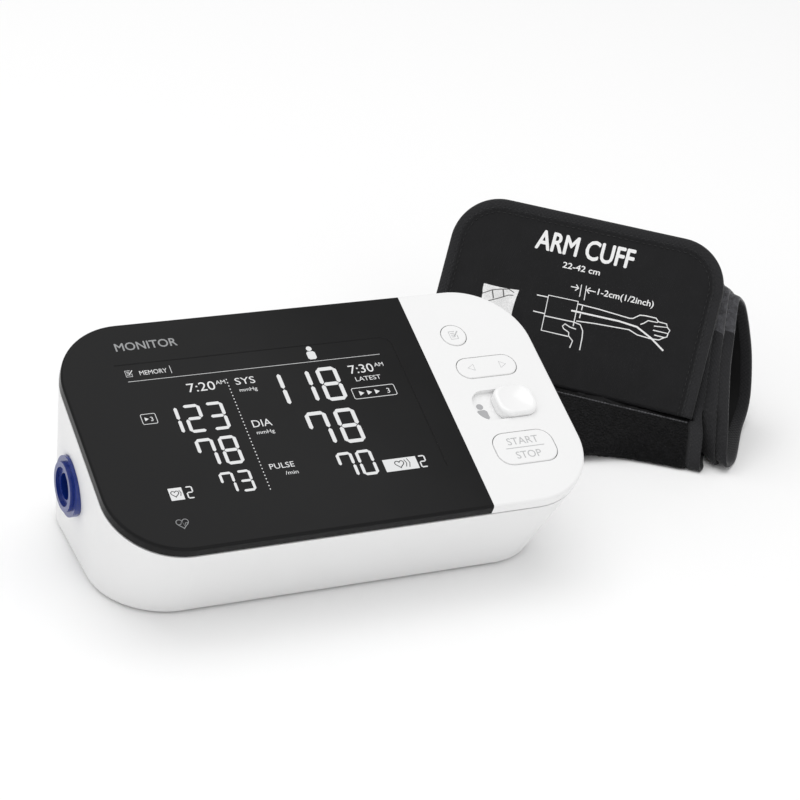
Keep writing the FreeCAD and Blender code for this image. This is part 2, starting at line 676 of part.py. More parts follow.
def save_cuff():
    room = flap_room()
    outside = roll_outside().cut(box(-200, 100, -100, 150, -10, 0.05))
    pile_room = box(-BAND_WIDTH - 40, 40, -60, 3.0, -5, 19.0).common(end_slab(16.8, BAND_WIDTH - END_W - 0.1))
    pile_core = roll_outside(PILE_T)
    lining = LINING_T
    former = lining + 0.1 + FORMER_T
    bladder = former + 0.1 + BLADDER_T
    save("cuff_lining", on_table(inner_layer(lining, 0, END_W + 0.1, BAND_WIDTH - END_W - 0.1)))
    save("cuff_former", on_table(inner_layer(former, lining + 0.1, 9, BAND_WIDTH - 9)))
    save("air_bladder", on_table(inner_layer(bladder, former + 0.1, 14, BAND_WIDTH - 14)))
    cover = outside.cut(roll_bore(bladder + 0.1)).cut(room)
    cover = cover.common(end_slab(END_W + 0.1, BAND_WIDTH - END_W - 0.1))
    pile = outside.cut(pile_core).common(pile_room).cut(room)
    pile = largest(pile)
    save("cuff_cover", on_table(largest(cover.cut(pile))))
    save("pile_band", on_table(pile))
    wall = outside.cut(roll_bore(0)).cut(room)
    wall = wall.cut(rod((-102.4, *OUTLET), (-1, 0, 0), OUTLET_NECK_R + 0.1, 12))
    save("end_bindings", *[on_table(part) for part in end_bindings(wall)])
    save("tube_outlet", tube_outlet())
    save("flap_panel", flap_panel())
    save("flap_binding", flap_binding())
    save("flap_hook", flap_hook())
    save("arm_label", arm_label())


save_monitor()
save_cuff()
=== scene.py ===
"""Home blood pressure set: finishes, print, keys' marks and soft goods for the desk monitor and its arm cuff."""

import math

import bpy
from mathutils import Matrix, Vector, noise


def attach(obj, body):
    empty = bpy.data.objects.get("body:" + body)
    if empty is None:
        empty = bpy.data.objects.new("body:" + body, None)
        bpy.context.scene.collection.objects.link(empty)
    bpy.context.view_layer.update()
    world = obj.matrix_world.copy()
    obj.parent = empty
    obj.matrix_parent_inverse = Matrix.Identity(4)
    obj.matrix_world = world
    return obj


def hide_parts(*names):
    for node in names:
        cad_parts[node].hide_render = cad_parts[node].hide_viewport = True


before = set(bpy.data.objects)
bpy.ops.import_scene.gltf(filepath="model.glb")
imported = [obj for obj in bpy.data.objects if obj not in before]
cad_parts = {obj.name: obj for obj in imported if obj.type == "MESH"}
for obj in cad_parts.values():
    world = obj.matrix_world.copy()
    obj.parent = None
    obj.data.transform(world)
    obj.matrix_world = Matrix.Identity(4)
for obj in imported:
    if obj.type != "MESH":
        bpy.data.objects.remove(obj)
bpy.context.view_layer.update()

MM = 0.001
SLOPE = math.radians(23.58)
RIM_Z = 36.33
LID_T = 4.17
CUFF_PLACE = (187.16, 80.70)
CUFF_TURN = math.radians(-43.52)
FLAP_LEAN = math.radians(31.89)
FLAP_FOOT = 20.0
BAND = 121.0
FLAP_TOP = 71.6
FLAP_LOW = -3.0
FLAP_R = 21.0
SEAM = 1.2

# Sections of the roll (across, up), from the top round the back: near end, fuller middle, hollow.
ROLL_END = ((34.5, 66.0), (40.5, 63.6), (47.0, 56.0), (50.5, 42.0), (51.0, 27.0), (46.5, 10.5), (34.0, 1.4),
            (14.0, 0.1), (-3.0, 0.1), (-10.2, 1.6), (-6.0, 9.5), (7.3, 25.0), (17.9, 42.0), (27.2, 57.0))
ROLL_MIDDLE = ((34.5, 66.0), (40.5, 63.6), (47.0, 56.0), (50.5, 42.0), (51.0, 27.0), (46.5, 10.5), (34.0, 1.4),
               (12.0, 0.1), (-13.0, 0.1), (-25.5, 1.8), (-14.0, 10.0), (7.3, 25.0), (17.9, 42.0), (27.2, 57.0))
ROLL_HOLLOW = ((34.5, 60.2), (38.2, 58.6), (42.3, 53.0), (44.9, 41.2), (45.3, 27.5), (41.4, 13.5), (32.0, 7.0),
               (18.0, 5.9), (7.0, 6.8), (5.4, 11.5), (12.4, 24.0), (22.6, 40.0), (29.8, 53.5))


# ------------------------------------------------------------------ camera, floor and light
CAMERA_PLACE = (-0.35270, -0.67268, 0.47124)
CAMERA_RIGHT = Vector((0.90137, -0.42089, 0.10193))
CAMERA_UP = Vector((0.10847, 0.44730, 0.88778))
CAMERA_LENS = 109.23


def studio_camera():
    """Camera above and to the left of the monitor, rolled a little."""
    back = CAMERA_RIGHT.cross(CAMERA_UP)
    data = bpy.data.cameras.new("studio_camera")
    data.sensor_width = 36.0
    data.lens = CAMERA_LENS
    data.clip_start = 0.01
    data.clip_end = 20.0
    camera = bpy.data.objects.new("studio_camera", data)
    bpy.context.collection.objects.link(camera)
    turn = Matrix((CAMERA_RIGHT, CAMERA_UP, back)).transposed().to_4x4()
    camera.matrix_world = Matrix.Translation(CAMERA_PLACE) @ turn
    bpy.context.scene.camera = camera


def soft_light(name, size, place, target, power):
    """Square area lamp turned towards its target."""
    data = bpy.data.lights.new(name, "AREA")
    data.shape = "SQUARE"
    data.size = size
    data.energy = power
    lamp = bpy.data.objects.new(name, data)
    bpy.context.collection.objects.link(lamp)
    lamp.location = place
    lamp.rotation_euler = (Vector(target) - Vector(place)).to_track_quat("-Z", "Y").to_euler()


def studio():
    """Pale floor, even surroundings and three soft lamps."""
    bpy.ops.object.select_all(action="DESELECT")
    bpy.ops.mesh.primitive_plane_add(size=12.0, location=(0.0, 0.0, 0.0))
    floor = bpy.context.active_object
    floor.name = "floor"
    pale = bpy.data.materials.new("pale_floor")
    pale.use_nodes = True
    shader = pale.node_tree.nodes["Principled BSDF"]
    shader.inputs["Base Color"].default_value = (0.97, 0.97, 0.97, 1)
    shader.inputs["Roughness"].default_value = 0.9
    shader.inputs["Specular IOR Level"].default_value = 0.1
    floor.data.materials.append(pale)
    world = bpy.data.worlds.new("studio_world")
    bpy.context.scene.world = world
    world.use_nodes = True
    world.node_tree.nodes["Background"].inputs["Color"].default_value = (1, 1, 1, 1)
    world.node_tree.nodes["Background"].inputs["Strength"].default_value = 0.72
    soft_light("overhead_softbox", 1.6, (-0.1, 0.25, 1.7), (0.05, 0.07, 0.0), 11.0)
    soft_light("left_softbox", 1.0, (-1.6, -0.3, 0.9), (0.0, 0.05, 0.03), 2.0)
    soft_light("front_softbox", 1.0, (0.2, -1.7, 0.8), (0.0, 0.05, 0.03), 2.6)
    bpy.context.scene.view_settings.view_transform = "Standard"
    bpy.context.scene.view_settings.exposure = 0.0


studio_camera()
studio()


# ------------------------------------------------------------------ shared surface effects
def effect(name, values, results):
    """New shader group with a Vector input, float inputs and float or colour outputs."""
    tree = bpy.data.node_groups.new(name, "ShaderNodeTree")
    tree.interface.new_socket(name="Vector", in_out="INPUT", socket_type="NodeSocketVector")
    for label, default in values.items():
        socket = tree.interface.new_socket(name=label, in_out="INPUT", socket_type="NodeSocketFloat")
        socket.default_value = default
    for label in results:
        tree.interface.new_socket(name=label, in_out="OUTPUT", socket_type="NodeSocketFloat")
    return tree, tree.nodes.new("NodeGroupInput"), tree.nodes.new("NodeGroupOutput")


def sum_of(tree, kind, first, second):
    """Maths node fed by sockets or plain numbers."""
    node = tree.nodes.new("ShaderNodeMath")
    node.operation = kind
    for slot_index, value in enumerate((first, second)):
        if value is None:
            continue
        if isinstance(value, (int, float)):
            node.inputs[slot_index].default_value = value
        else:
            tree.links.new(value, node.inputs[slot_index])
    return node.outputs[0]


def speckle(tree, vector, scale, detail=3.0, rough=0.6):
    """Noise from 0 to 1, at a scale given as a number or a socket."""
    node = tree.nodes.new("ShaderNodeTexNoise")
    node.inputs["Detail"].default_value = detail
    node.inputs["Roughness"].default_value = rough
    tree.links.new(vector, node.inputs["Vector"])
    if isinstance(scale, (int, float)):
        node.inputs["Scale"].default_value = scale
    else:
        tree.links.new(scale, node.inputs["Scale"])
    return node.outputs["Fac"]


def spread(tree, value, low, high):
    """Map a 0 to 1 value onto a range."""
    node = tree.nodes.new("ShaderNodeMapRange")
    node.inputs["From Min"].default_value = 0.3
    node.inputs["From Max"].default_value = 0.7
    node.inputs["To Min"].default_value = low
    node.inputs["To Max"].default_value = high
    tree.links.new(value, node.inputs["Value"])
    return node.outputs[0]


def make_moulded():
    """Fine spark-eroded grain of moulded plastic with faint handling marks."""
    tree, given, out = effect("moulded_grain", {"Grain": 2600.0, "Marks": 28.0}, ("Tone", "Roughness", "Height"))
    fine = speckle(tree, given.outputs["Vector"], given.outputs["Grain"], 2.0)
    broad = speckle(tree, given.outputs["Vector"], given.outputs["Marks"], 4.0)
    tree.links.new(spread(tree, broad, 0.985, 1.0), out.inputs["Tone"])
    tree.links.new(spread(tree, broad, -0.05, 0.05), out.inputs["Roughness"])
    tree.links.new(fine, out.inputs["Height"])
    return tree


def make_weave():
    """Plain weave that follows the cloth's own threads, with slubs."""
    tree, given, out = effect("plain_weave", {"Threads": 1.4, "Slubs": 9.0}, ("Tone", "Roughness", "Height"))
    split = tree.nodes.new("ShaderNodeSeparateXYZ")
    tree.links.new(given.outputs["Vector"], split.inputs[0])
    waves = []
    for axis in (0, 1):
        turns = sum_of(tree, "MULTIPLY", split.outputs[axis], given.outputs["Threads"])
        turns = sum_of(tree, "MULTIPLY", turns, 2 * math.pi)
        waves.append(sum_of(tree, "SINE", turns, None))
    weave = sum_of(tree, "MULTIPLY", waves[0], waves[1])
    slubs = speckle(tree, given.outputs["Vector"], given.outputs["Slubs"], 5.0, 0.7)
    cloudy = speckle(tree, given.outputs["Vector"], 0.12, 3.0)
    height = sum_of(tree, "ADD", sum_of(tree, "MULTIPLY", weave, 0.5), slubs)
    tone = sum_of(tree, "MULTIPLY", spread(tree, slubs, 0.75, 1.25), spread(tree, cloudy, 0.88, 1.12))
    tree.links.new(tone, out.inputs["Tone"])
    tree.links.new(spread(tree, slubs, -0.06, 0.06), out.inputs["Roughness"])
    tree.links.new(height, out.inputs["Height"])
    return tree


def make_pile():
    """Dense looped pile: small curled tufts with lighter tips."""
    tree, given, out = effect("looped_pile", {"Tufts": 1400.0}, ("Tone", "Roughness", "Height"))
    cells = tree.nodes.new("ShaderNodeTexVoronoi")
    tree.links.new(given.outputs["Vector"], cells.inputs["Vector"])
    tree.links.new(given.outputs["Tufts"], cells.inputs["Scale"])
    fuzz = speckle(tree, given.outputs["Vector"], 2600.0, 5.0, 0.75)
    clumps = speckle(tree, given.outputs["Vector"], 420.0, 4.0, 0.7)
    height = sum_of(tree, "ADD", sum_of(tree, "SUBTRACT", clumps, cells.outputs["Distance"]), fuzz)
    tone = sum_of(tree, "MULTIPLY", spread(tree, clumps, 0.3, 1.7), spread(tree, fuzz, 0.35, 1.9))
    tree.links.new(tone, out.inputs["Tone"])
    tree.links.new(spread(tree, fuzz, -0.05, 0.05), out.inputs["Roughness"])
    tree.links.new(height, out.inputs["Height"])
    return tree


EFFECTS = {"moulded": make_moulded(), "weave": make_weave(), "pile": make_pile()}


def finish(name, colour, roughness, kind="moulded", settings=None, bump=0.1, depth=0.00002, shader_values=None,
           coordinates="Object"):
    """Material with its own Principled shader and one shared effect."""
    made = bpy.data.materials.new(name)
    made.use_nodes = True
    tree = made.node_tree
    shader = tree.nodes["Principled BSDF"]
    where = tree.nodes.new("ShaderNodeTexCoord")
    group = tree.nodes.new("ShaderNodeGroup")
    group.node_tree = EFFECTS[kind]
    for label, value in (settings or {}).items():
        group.inputs[label].default_value = value
    tree.links.new(where.outputs[coordinates], group.inputs["Vector"])
    tint = tree.nodes.new("ShaderNodeMix")
    tint.data_type = "RGBA"
    tint.blend_type = "MULTIPLY"
    tint.inputs["Factor"].default_value = 1.0
    tint.inputs["A"].default_value = (*colour, 1)
    tree.links.new(group.outputs["Tone"], tint.inputs["B"])
    tree.links.new(tint.outputs["Result"], shader.inputs["Base Color"])
    sheen = sum_of(tree, "ADD", group.outputs["Roughness"], roughness)
    tree.links.new(sheen, shader.inputs["Roughness"])
    relief = tree.nodes.new("ShaderNodeBump")
    relief.inputs["Strength"].default_value = bump
    relief.inputs["Distance"].default_value = depth
    tree.links.new(group.outputs["Height"], relief.inputs["Height"])
    tree.links.new(relief.outputs["Normal"], shader.inputs["Normal"])
    for label, value in (shader_values or {}).items():
        shader.inputs[label].default_value = value
    return made


CASE_WHITE = finish("case_white", (0.84, 0.84, 0.84), 0.42, bump=0.12)
LID_WHITE = finish("lid_white", (0.86, 0.86, 0.86), 0.40, bump=0.14)
KEY_WHITE = finish("key_white", (0.86, 0.86, 0.86), 0.38, bump=0.10)
KNOB_WHITE = finish("knob_white", (0.90, 0.90, 0.90), 0.22, bump=0.04, shader_values={"Coat Weight": 0.3})
# Dark grey on the rim seal: painted shade of the narrow parting gap between the top cover and the lower case.
SEAL_GAP_SHADE = finish("seal_grey", (0.16, 0.165, 0.17), 0.55)
WINDOW_BLACK = finish("window_black", (0.0125, 0.0125, 0.0128), 0.14, bump=0.01,
                      shader_values={"Specular IOR Level": 0.07})
LCD_TINT = finish("lcd_tint", (0.0045, 0.0045, 0.0048), 0.2, bump=0.01, shader_values={"Specular IOR Level": 0.1})
JACK_BLUE = finish("jack_blue", (0.005, 0.022, 0.19), 0.22, bump=0.03, shader_values={"Coat Weight": 0.15})
SEGMENT_GREY = finish("segment_grey", (0.74, 0.745, 0.75), 0.5)
PRINT_GREY = finish("print_grey", (0.30, 0.305, 0.31), 0.5)
KEY_PRINT = finish("key_print", (0.50, 0.505, 0.51), 0.6)
ICON_GREY = finish("icon_grey", (0.42, 0.42, 0.43), 0.6)
PRINT_WHITE = finish("print_white", (0.86, 0.86, 0.86), 0.6)
RUBBER = finish("foot_rubber", (0.03, 0.03, 0.03), 0.8)
HOSE_RUBBER = finish("hose_rubber", (0.35, 0.35, 0.33), 0.6)
STEEL = finish("bright_steel", (0.55, 0.55, 0.56), 0.3, shader_values={"Metallic": 1.0})
BOARD_GREEN = finish("board_green", (0.02, 0.13, 0.05), 0.4)
CHIP_BLACK = finish("chip_black", (0.02, 0.02, 0.02), 0.5)
INNER_GREY = finish("inner_grey", (0.45, 0.45, 0.45), 0.5)
CELL_DARK = finish("cell_wrap", (0.05, 0.05, 0.06), 0.3)
OUTLET_BLACK = finish("outlet_black", (0.02, 0.02, 0.02), 0.5)
NYLON = finish("printed_nylon", (0.0080, 0.0080, 0.0088), 0.62, "weave", {"Threads": 1.1, "Slubs": 2.2}, 0.35, 0.00008,
               {"Sheen Weight": 0.03, "Sheen Roughness": 0.4, "Specular IOR Level": 0.18}, "UV")
# Lining nylon: black cloth darkened well below the outer nylon so the roll's hollow and the turns between its wraps
# read dark; partly the lining's own black, partly painted shade.
LINING_AND_HOLLOW_SHADE = finish("lining_nylon_hollow_shade", (0.0035, 0.0035, 0.0038), 0.55, "weave", {"Threads": 1.1, "Slubs": 2.2}, 0.3, 0.00006,
                {"Sheen Weight": 0.02, "Specular IOR Level": 0.12}, "UV")
TAPE = finish("ribbed_tape", (0.011, 0.011, 0.0125), 0.75, "weave", {"Threads": 0.55, "Slubs": 1.2}, 0.8, 0.0002,
              {"Sheen Weight": 0.12, "Sheen Roughness": 0.5, "Specular IOR Level": 0.3}, "UV")
GREY_LOOPS = finish("grey_loop_cloth", (0.058, 0.058, 0.064), 0.85, "pile", {"Tufts": 1100.0}, 0.8, 0.0004,
                    {"Sheen Weight": 0.15, "Sheen Roughness": 0.6})
BLACK_PILE = finish("black_pile", (0.0040, 0.0040, 0.0044), 0.9, "pile", {"Tufts": 900.0}, 1.0, 0.0007,
                    {"Sheen Weight": 0.04, "Sheen Roughness": 0.5, "Specular IOR Level": 0.12})
FILM_BLACK = finish("bladder_film", (0.008, 0.008, 0.009), 0.5)
THREAD = finish("black_thread", (0.012, 0.012, 0.013), 0.6)
GREY_TAPE = finish("grey_ribbed_tape", (0.040, 0.040, 0.045), 0.8, "pile", {"Tufts": 1300.0}, 0.6, 0.0003,
                   {"Sheen Weight": 0.35, "Sheen Roughness": 0.5})
LABEL_WHITE = finish("label_white", (0.80, 0.80, 0.80), 0.7, "weave", {"Threads": 1.6, "Slubs": 2.0}, 0.15, 0.00003,
                     None, "UV")
INK = finish("label_ink", (0.10, 0.10, 0.10), 0.7)


def paint_cad():
    """Give every CAD node that stays its finish."""
    finishes = {
        CASE_WHITE: ("lower_case", "battery_bay", "battery_cover"),
        LID_WHITE: ("top_cover",),
        KEY_WHITE: ("memory_button", "rocker_button", "start_stop_button"),
        KNOB_WHITE: ("user_switch_knob",),
        # rim seal in the dark grey that paints the shade of the parting gap
        SEAL_GAP_SHADE: ("rim_seal",),
        WINDOW_BLACK: ("display_window",),
        LCD_TINT: ("lcd_panel",),
        INNER_GREY: ("lcd_backlight", "lcd_holder", "board_spacers", "air_nozzle", "air_manifold", "pump_head"),
        BOARD_GREEN: ("main_board", "key_board"),
        CHIP_BLACK: ("board_chips", "slide_switch", "dc_jack"),
        STEEL: ("tact_switches", "pump_motor", "exhaust_valve", "pressure_sensor", "battery_contacts", "case_screws"),
        HOSE_RUBBER: ("inner_hoses", "pump_cradle"),
        JACK_BLUE: ("air_jack",),
        CELL_DARK: ("batteries",),
        RUBBER: ("rubber_feet",),
        OUTLET_BLACK: ("tube_outlet", "flap_hook"),
        FILM_BLACK: ("air_bladder", "cuff_former"),
    }
    for material, nodes in finishes.items():
        for node in nodes:
            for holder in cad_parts[node].material_slots:
                holder.material = material


paint_cad()


# ------------------------------------------------------------------ making and placing
def clamp(value):
    """Value held between 0 and 1."""
    return min(1.0, max(0.0, value))


def only(piece):
    """Select one piece alone and make it active."""
    bpy.ops.object.select_all(action="DESELECT")
    piece.select_set(True)
    bpy.context.view_layer.objects.active = piece


def mend(fill=True, turn=True):
    """Fill the active skin's open ends and turn its faces outwards, as asked."""
    bpy.ops.object.mode_set(mode="EDIT")
    bpy.ops.mesh.select_all(action="SELECT")
    if fill:
        bpy.ops.mesh.fill_holes(sides=0)
    if turn:
        bpy.ops.mesh.normals_make_consistent(inside=False)
    bpy.ops.object.mode_set(mode="OBJECT")


def on_lid(height=LID_T):
    """Matrix that lays flat work (x, up the slope) on the monitor's sloping top."""
    tilt = Matrix.Rotation(SLOPE, 4, "X")
    return Matrix.Translation((0, 0, RIM_Z * MM)) @ tilt @ Matrix.Translation((0, 0, height * MM))


def on_cuff():
    """Matrix from (along the roll, across it, up) to the table."""
    return Matrix.Translation((CUFF_PLACE[0] * MM, CUFF_PLACE[1] * MM, 0)) @ Matrix.Rotation(CUFF_TURN, 4, "Z")


def on_flap(height=0.0):
    """Matrix that stands flat work (along, up the face) on the flap."""
    stand = Matrix.Rotation(math.pi / 2 - FLAP_LEAN, 4, "X")
    lift = Matrix.Translation((0, 0, FLAP_FOOT * MM))
    return on_cuff() @ lift @ stand @ Matrix.Translation((0, 0, height * MM))


def settle(piece, matrix, body, material, name=None):
    """Put a finished piece in its place, in its mesh, and let it ride on its body."""
    piece.data.transform(matrix @ piece.matrix_basis)
    piece.matrix_basis = Matrix.Identity(4)
    if name:
        piece.name = name
    piece.data.materials.clear()
    piece.data.materials.append(material)
    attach(piece, body)
    return piece


def join(pieces, name):
    """One piece made from several, under one name."""
    bpy.ops.object.select_all(action="DESELECT")
    for piece in pieces:
        piece.select_set(True)
    bpy.context.view_layer.objects.active = pieces[0]
    if len(pieces) > 1:
        bpy.ops.object.join()
    pieces[0].name = name
    return pieces[0]


def lettering(words, x, y, height, width=None, align="LEFT", heavy=0.0):
    """Flat raised words, in millimetres on their sheet; width sets the whole line's length."""
    bpy.ops.object.select_all(action="DESELECT")
    bpy.ops.object.text_add(location=(0, 0, 0))
    text = bpy.context.active_object
    text.data.body = words
    text.data.size = height * MM / 0.72
    text.data.extrude = 0.02 * MM
    text.data.resolution_u = 3
    bpy.ops.object.convert(target="MESH")
    text = bpy.context.active_object
    low = min(v.co.x for v in text.data.vertices)
    high = max(v.co.x for v in text.data.vertices)
    stretch = 1.0 if width is None else width * MM / (high - low)
    start = {"LEFT": 0.0, "CENTER": 0.5, "RIGHT": 1.0}[align] * (high - low) * stretch
    text.data.transform(Matrix.Translation((x * MM - start, y * MM, 0)) @ Matrix.Diagonal((stretch, 1, 1, 1)) @
                        Matrix.Translation((-low, 0, 0)))
    if not heavy:
        return text
    copies = [text]
    for number, (across, upward) in enumerate(((1, 0), (-1, 0), (0, 1), (0, -1)), 1):
        copy = text.copy()
        copy.data = text.data.copy()
        copy.data.transform(Matrix.Translation((across * heavy * MM, upward * heavy * MM, 0.002 * number * MM)))
        bpy.context.collection.objects.link(copy)
        copies.append(copy)
    return join(copies, "bold_words")


def stroke(points, width, closed=False):
    """Line of print: a flat ribbon along points given in millimetres."""
    curve = bpy.data.curves.new("stroke", "CURVE")
    curve.dimensions = "3D"
    line = curve.splines.new("POLY")
    line.points.add(len(points) - 1)
    for spot, (x, y) in zip(line.points, points):
        spot.co = (x * MM, y * MM, 0, 1)
    line.use_cyclic_u = closed
    curve.bevel_depth = width * MM / 2
    curve.bevel_resolution = 1
    curve.use_fill_caps = True
    piece = bpy.data.objects.new("stroke", curve)
    bpy.context.collection.objects.link(piece)
    only(piece)
    bpy.ops.object.convert(target="MESH")
    piece = bpy.context.active_object
    piece.data.transform(Matrix.Diagonal((1, 1, 0.06 / width, 1)))
    return piece


def bar(x0, x1, y0, y1, point=0.0, along="X"):
    """Small flat bar, with pointed ends if asked, as in a segment digit."""
    bpy.ops.object.select_all(action="DESELECT")
    bpy.ops.mesh.primitive_cube_add(size=1.0, location=((x0 + x1) / 2 * MM, (y0 + y1) / 2 * MM, 0))
    piece = bpy.context.active_object
    piece.scale = ((x1 - x0) * MM, (y1 - y0) * MM, 0.04 * MM)
    bpy.ops.object.transform_apply(location=True, rotation=False, scale=True)
    if point:
        modifier = piece.modifiers.new("points", "BEVEL")
        modifier.width = point * MM
        modifier.segments = 1
        modifier.limit_method = "WEIGHT"
        modifier.affect = "EDGES"
        weights = piece.data.attributes.new("bevel_weight_edge", "FLOAT", "EDGE")
        for edge in piece.data.edges:
            a, b = (piece.data.vertices[i].co for i in edge.vertices)
            upright = abs(a.z - b.z) > 0.00001
            weights.data[edge.index].value = 1.0 if upright else 0.0
        bpy.ops.object.modifier_apply(modifier=modifier.name)
    return piece


# ------------------------------------------------------------------ display
SEGMENTS = {"0": "abcdef", "1": "bc", "2": "abged", "3": "abgcd", "7": "fabc", "8": "abcdefg"}


def digit(value, x, y, width, height):
    """One seven-segment digit from its bars."""
    t = width * 0.19
    gap = t * 0.16
    middle = y + height / 2
    places = {
        "a": (x + gap + t * 0.45, x + width - gap - t * 0.45, y + height - t, y + height),
        "g": (x + gap + t * 0.6, x + width - gap - t * 0.6, middle - t / 2, middle + t / 2),
        "d": (x + gap + t * 0.45, x + width - gap - t * 0.45, y, y + t),
        "f": (x, x + t, middle + gap, y + height - gap - t * 0.4),
        "b": (x + width - t, x + width, middle + gap, y + height - gap - t * 0.4),
        "e": (x, x + t, y + gap + t * 0.4, middle - gap),
        "c": (x + width - t, x + width, y + gap + t * 0.4, middle - gap),
    }
    return [bar(*places[letter], point=t * 0.42) for letter in SEGMENTS[value]]


def display_digits():
    """Every digit that is lit on the display."""
    pieces = []
    for value, x, y, width, height in (
            ("1", -21.2, 57.0, 8.5, 16.2), ("1", -9.8, 57.0, 8.5, 16.2), ("8", 1.5, 57.0, 8.5, 16.2),
            ("7", -10.0, 36.8, 8.5, 16.2), ("8", 1.5, 36.8, 8.5, 16.2),
            ("7", -4.6, 21.4, 6.4, 11.6), ("0", 3.2, 21.4, 6.4, 11.6),
            ("1", -63.9, 50.0, 7.0, 13.0), ("2", -55.1, 50.0, 7.0, 13.0), ("3", -46.2, 50.0, 7.0, 13.0),
            ("7", -55.1, 34.0, 7.0, 13.0), ("8", -46.2, 34.0, 7.0, 13.0),
            ("7", -51.0, 21.4, 5.4, 9.6), ("3", -44.3, 21.4, 5.4, 9.6),
            ("2", -65.0, 21.6, 2.7, 5.4), ("2", 26.6, 21.6, 2.9, 5.6)):
        pieces += digit(value, x, y, width, height)
    settle(join(pieces, "display_digits"), on_lid(LID_T + 0.04), "monitor", SEGMENT_GREY)


def ring(x0, x1, y0, y1, r, width):
    """Outline of a round-cornered box."""
    points = []
    for cx, cy, start in ((x1 - r, y1 - r, 0), (x0 + r, y1 - r, 90), (x0 + r, y0 + r, 180), (x1 - r, y0 + r, 270)):
        for step in range(5):
            angle = math.radians(start + 22.5 * step)
            points.append((cx + r * math.cos(angle), cy + r * math.sin(angle)))
    return stroke(points, width, closed=True)


def heart(x, y, size, width):
    """Heart outline about a centre."""
    points = []
    for step in range(24):
        t = 2 * math.pi * step / 24
        rise = 13 * math.cos(t) - 5 * math.cos(2 * t) - 2 * math.cos(3 * t) - math.cos(4 * t)
        points.append((x + size * 16 * math.sin(t) ** 3 / 32, y + size * rise / 32))
    return stroke(points, width, closed=True)


def display_words():
    """Words, rules and small marks on the display."""
    pieces = [
        lettering("MEMORY", -65.6, 79.0, 2.1, 10.6),
        lettering("7:20", -50.0, 68.6, 4.2, 10.8), lettering("AM", -38.6, 70.8, 1.9, 3.8),
        lettering("SYS", -31.0, 69.6, 3.3, 7.8), lettering("mmHg", -30.6, 66.2, 1.7, 7.0),
        lettering("7:30", 15.0, 68.6, 4.2, 10.0), lettering("AM", 25.8, 70.8, 1.9, 3.8),
        lettering("LATEST", 16.0, 64.8, 2.1, 10.4),
        lettering("DIA", -31.0, 49.2, 3.4, 7.6), lettering("mmHg", -30.6, 45.9, 1.7, 7.0),
        lettering("PULSE", -31.0, 29.6, 2.5, 9.6), lettering("/min", -26.0, 26.4, 1.7, 5.0),
        lettering("3", 26.4, 57.7, 2.4), lettering("3", -67.9, 57.6, 2.0),
        stroke(((-71.0, 76.5), (30.0, 76.5)), 0.22), stroke(((-53.5, 78.4), (-53.5, 82.0)), 0.25),
        ring(12.5, 30.0, 56.5, 61.6, 0.7, 0.32), ring(-71.2, -65.6, 56.4, 61.0, 0.6, 0.28),
    ]
    for x in (15.2, 18.4, 21.6):
        pieces.append(arrow_head(x, 59.0, 2.1))
    pieces.append(arrow_head(-70.0, 58.7, 1.6))
    dots = []
    for step in range(34):
        y = 72.6 - step * 1.56
        dots.append(bar(-34.2, -33.8, y - 0.25, y + 0.25))
    pieces += dots
    pieces += memo_mark(-69.7, 80.3, 1.5, 0.26)
    settle(join(pieces, "display_words"), on_lid(LID_T + 0.03), "monitor", SEGMENT_GREY)
    blocks = [bar(-71.3, -66.2, 21.6, 27.0), bar(12.4, 25.8, 21.6, 27.2)]
    settle(join(blocks, "display_heart_fields"), on_lid(LID_T + 0.02), "monitor", SEGMENT_GREY)
    hearts = [heart(-69.2, 24.5, 3.0, 0.3), stroke(((-67.4, 25.8), (-66.9, 24.6), (-67.4, 23.2)), 0.28),
              heart(18.6, 24.6, 3.6, 0.34), stroke(((20.9, 26.2), (21.5, 24.6), (20.9, 23.0)), 0.3),
              stroke(((22.1, 26.6), (22.8, 24.6), (22.1, 22.6)), 0.3)]
    settle(join(hearts, "display_heart_marks"), on_lid(LID_T + 0.06), "monitor", WINDOW_BLACK)


def arrow_head(x, y, size):
    """Small solid triangle."""
    bpy.ops.object.select_all(action="DESELECT")
    bpy.ops.mesh.primitive_cylinder_add(vertices=3, radius=size * 0.62 * MM, depth=0.04 * MM,
                                        location=((x + size * 0.3) * MM, y * MM, 0))
    piece = bpy.context.active_object
    piece.data.transform(Matrix.Rotation(-math.pi / 2, 4, "Z"))
    bpy.ops.object.transform_apply(location=True, rotation=True, scale=True)
    return piece


def memo_mark(x, y, size, width):
    """Small sheet of notes with a pencil."""
    pieces = [stroke(((x + size * 0.5, y + size * 0.9), (x - size * 0.8, y + size * 0.9), (x - size * 0.8, y - size),
                      (x + size * 0.75, y - size), (x + size * 0.75, y - size * 0.1)), width)]
    for row in (0.45, 0.0, -0.45):
        pieces.append(stroke(((x - size * 0.5, y + size * row), (x + size * 0.3, y + size * row)), width))
    pieces.append(stroke(((x + size * 0.1, y - size * 0.3), (x + size * 1.1, y + size * 0.9)), width * 1.5))
    return pieces


def figure_mark(x, y, size):
    """Solid person: round head over shoulders."""
    bpy.ops.object.select_all(action="DESELECT")
    bpy.ops.mesh.primitive_cylinder_add(vertices=24, radius=size * 0.27 * MM, depth=0.04 * MM,
                                        location=(x * MM, (y + size * 0.62) * MM, 0))
    head = bpy.context.active_object
    bpy.ops.object.transform_apply(location=True, rotation=True, scale=True)
    body = bar(x - size * 0.42, x + size * 0.42, y - size * 0.62, y + size * 0.30, point=size * 0.16)
    return [head, body]


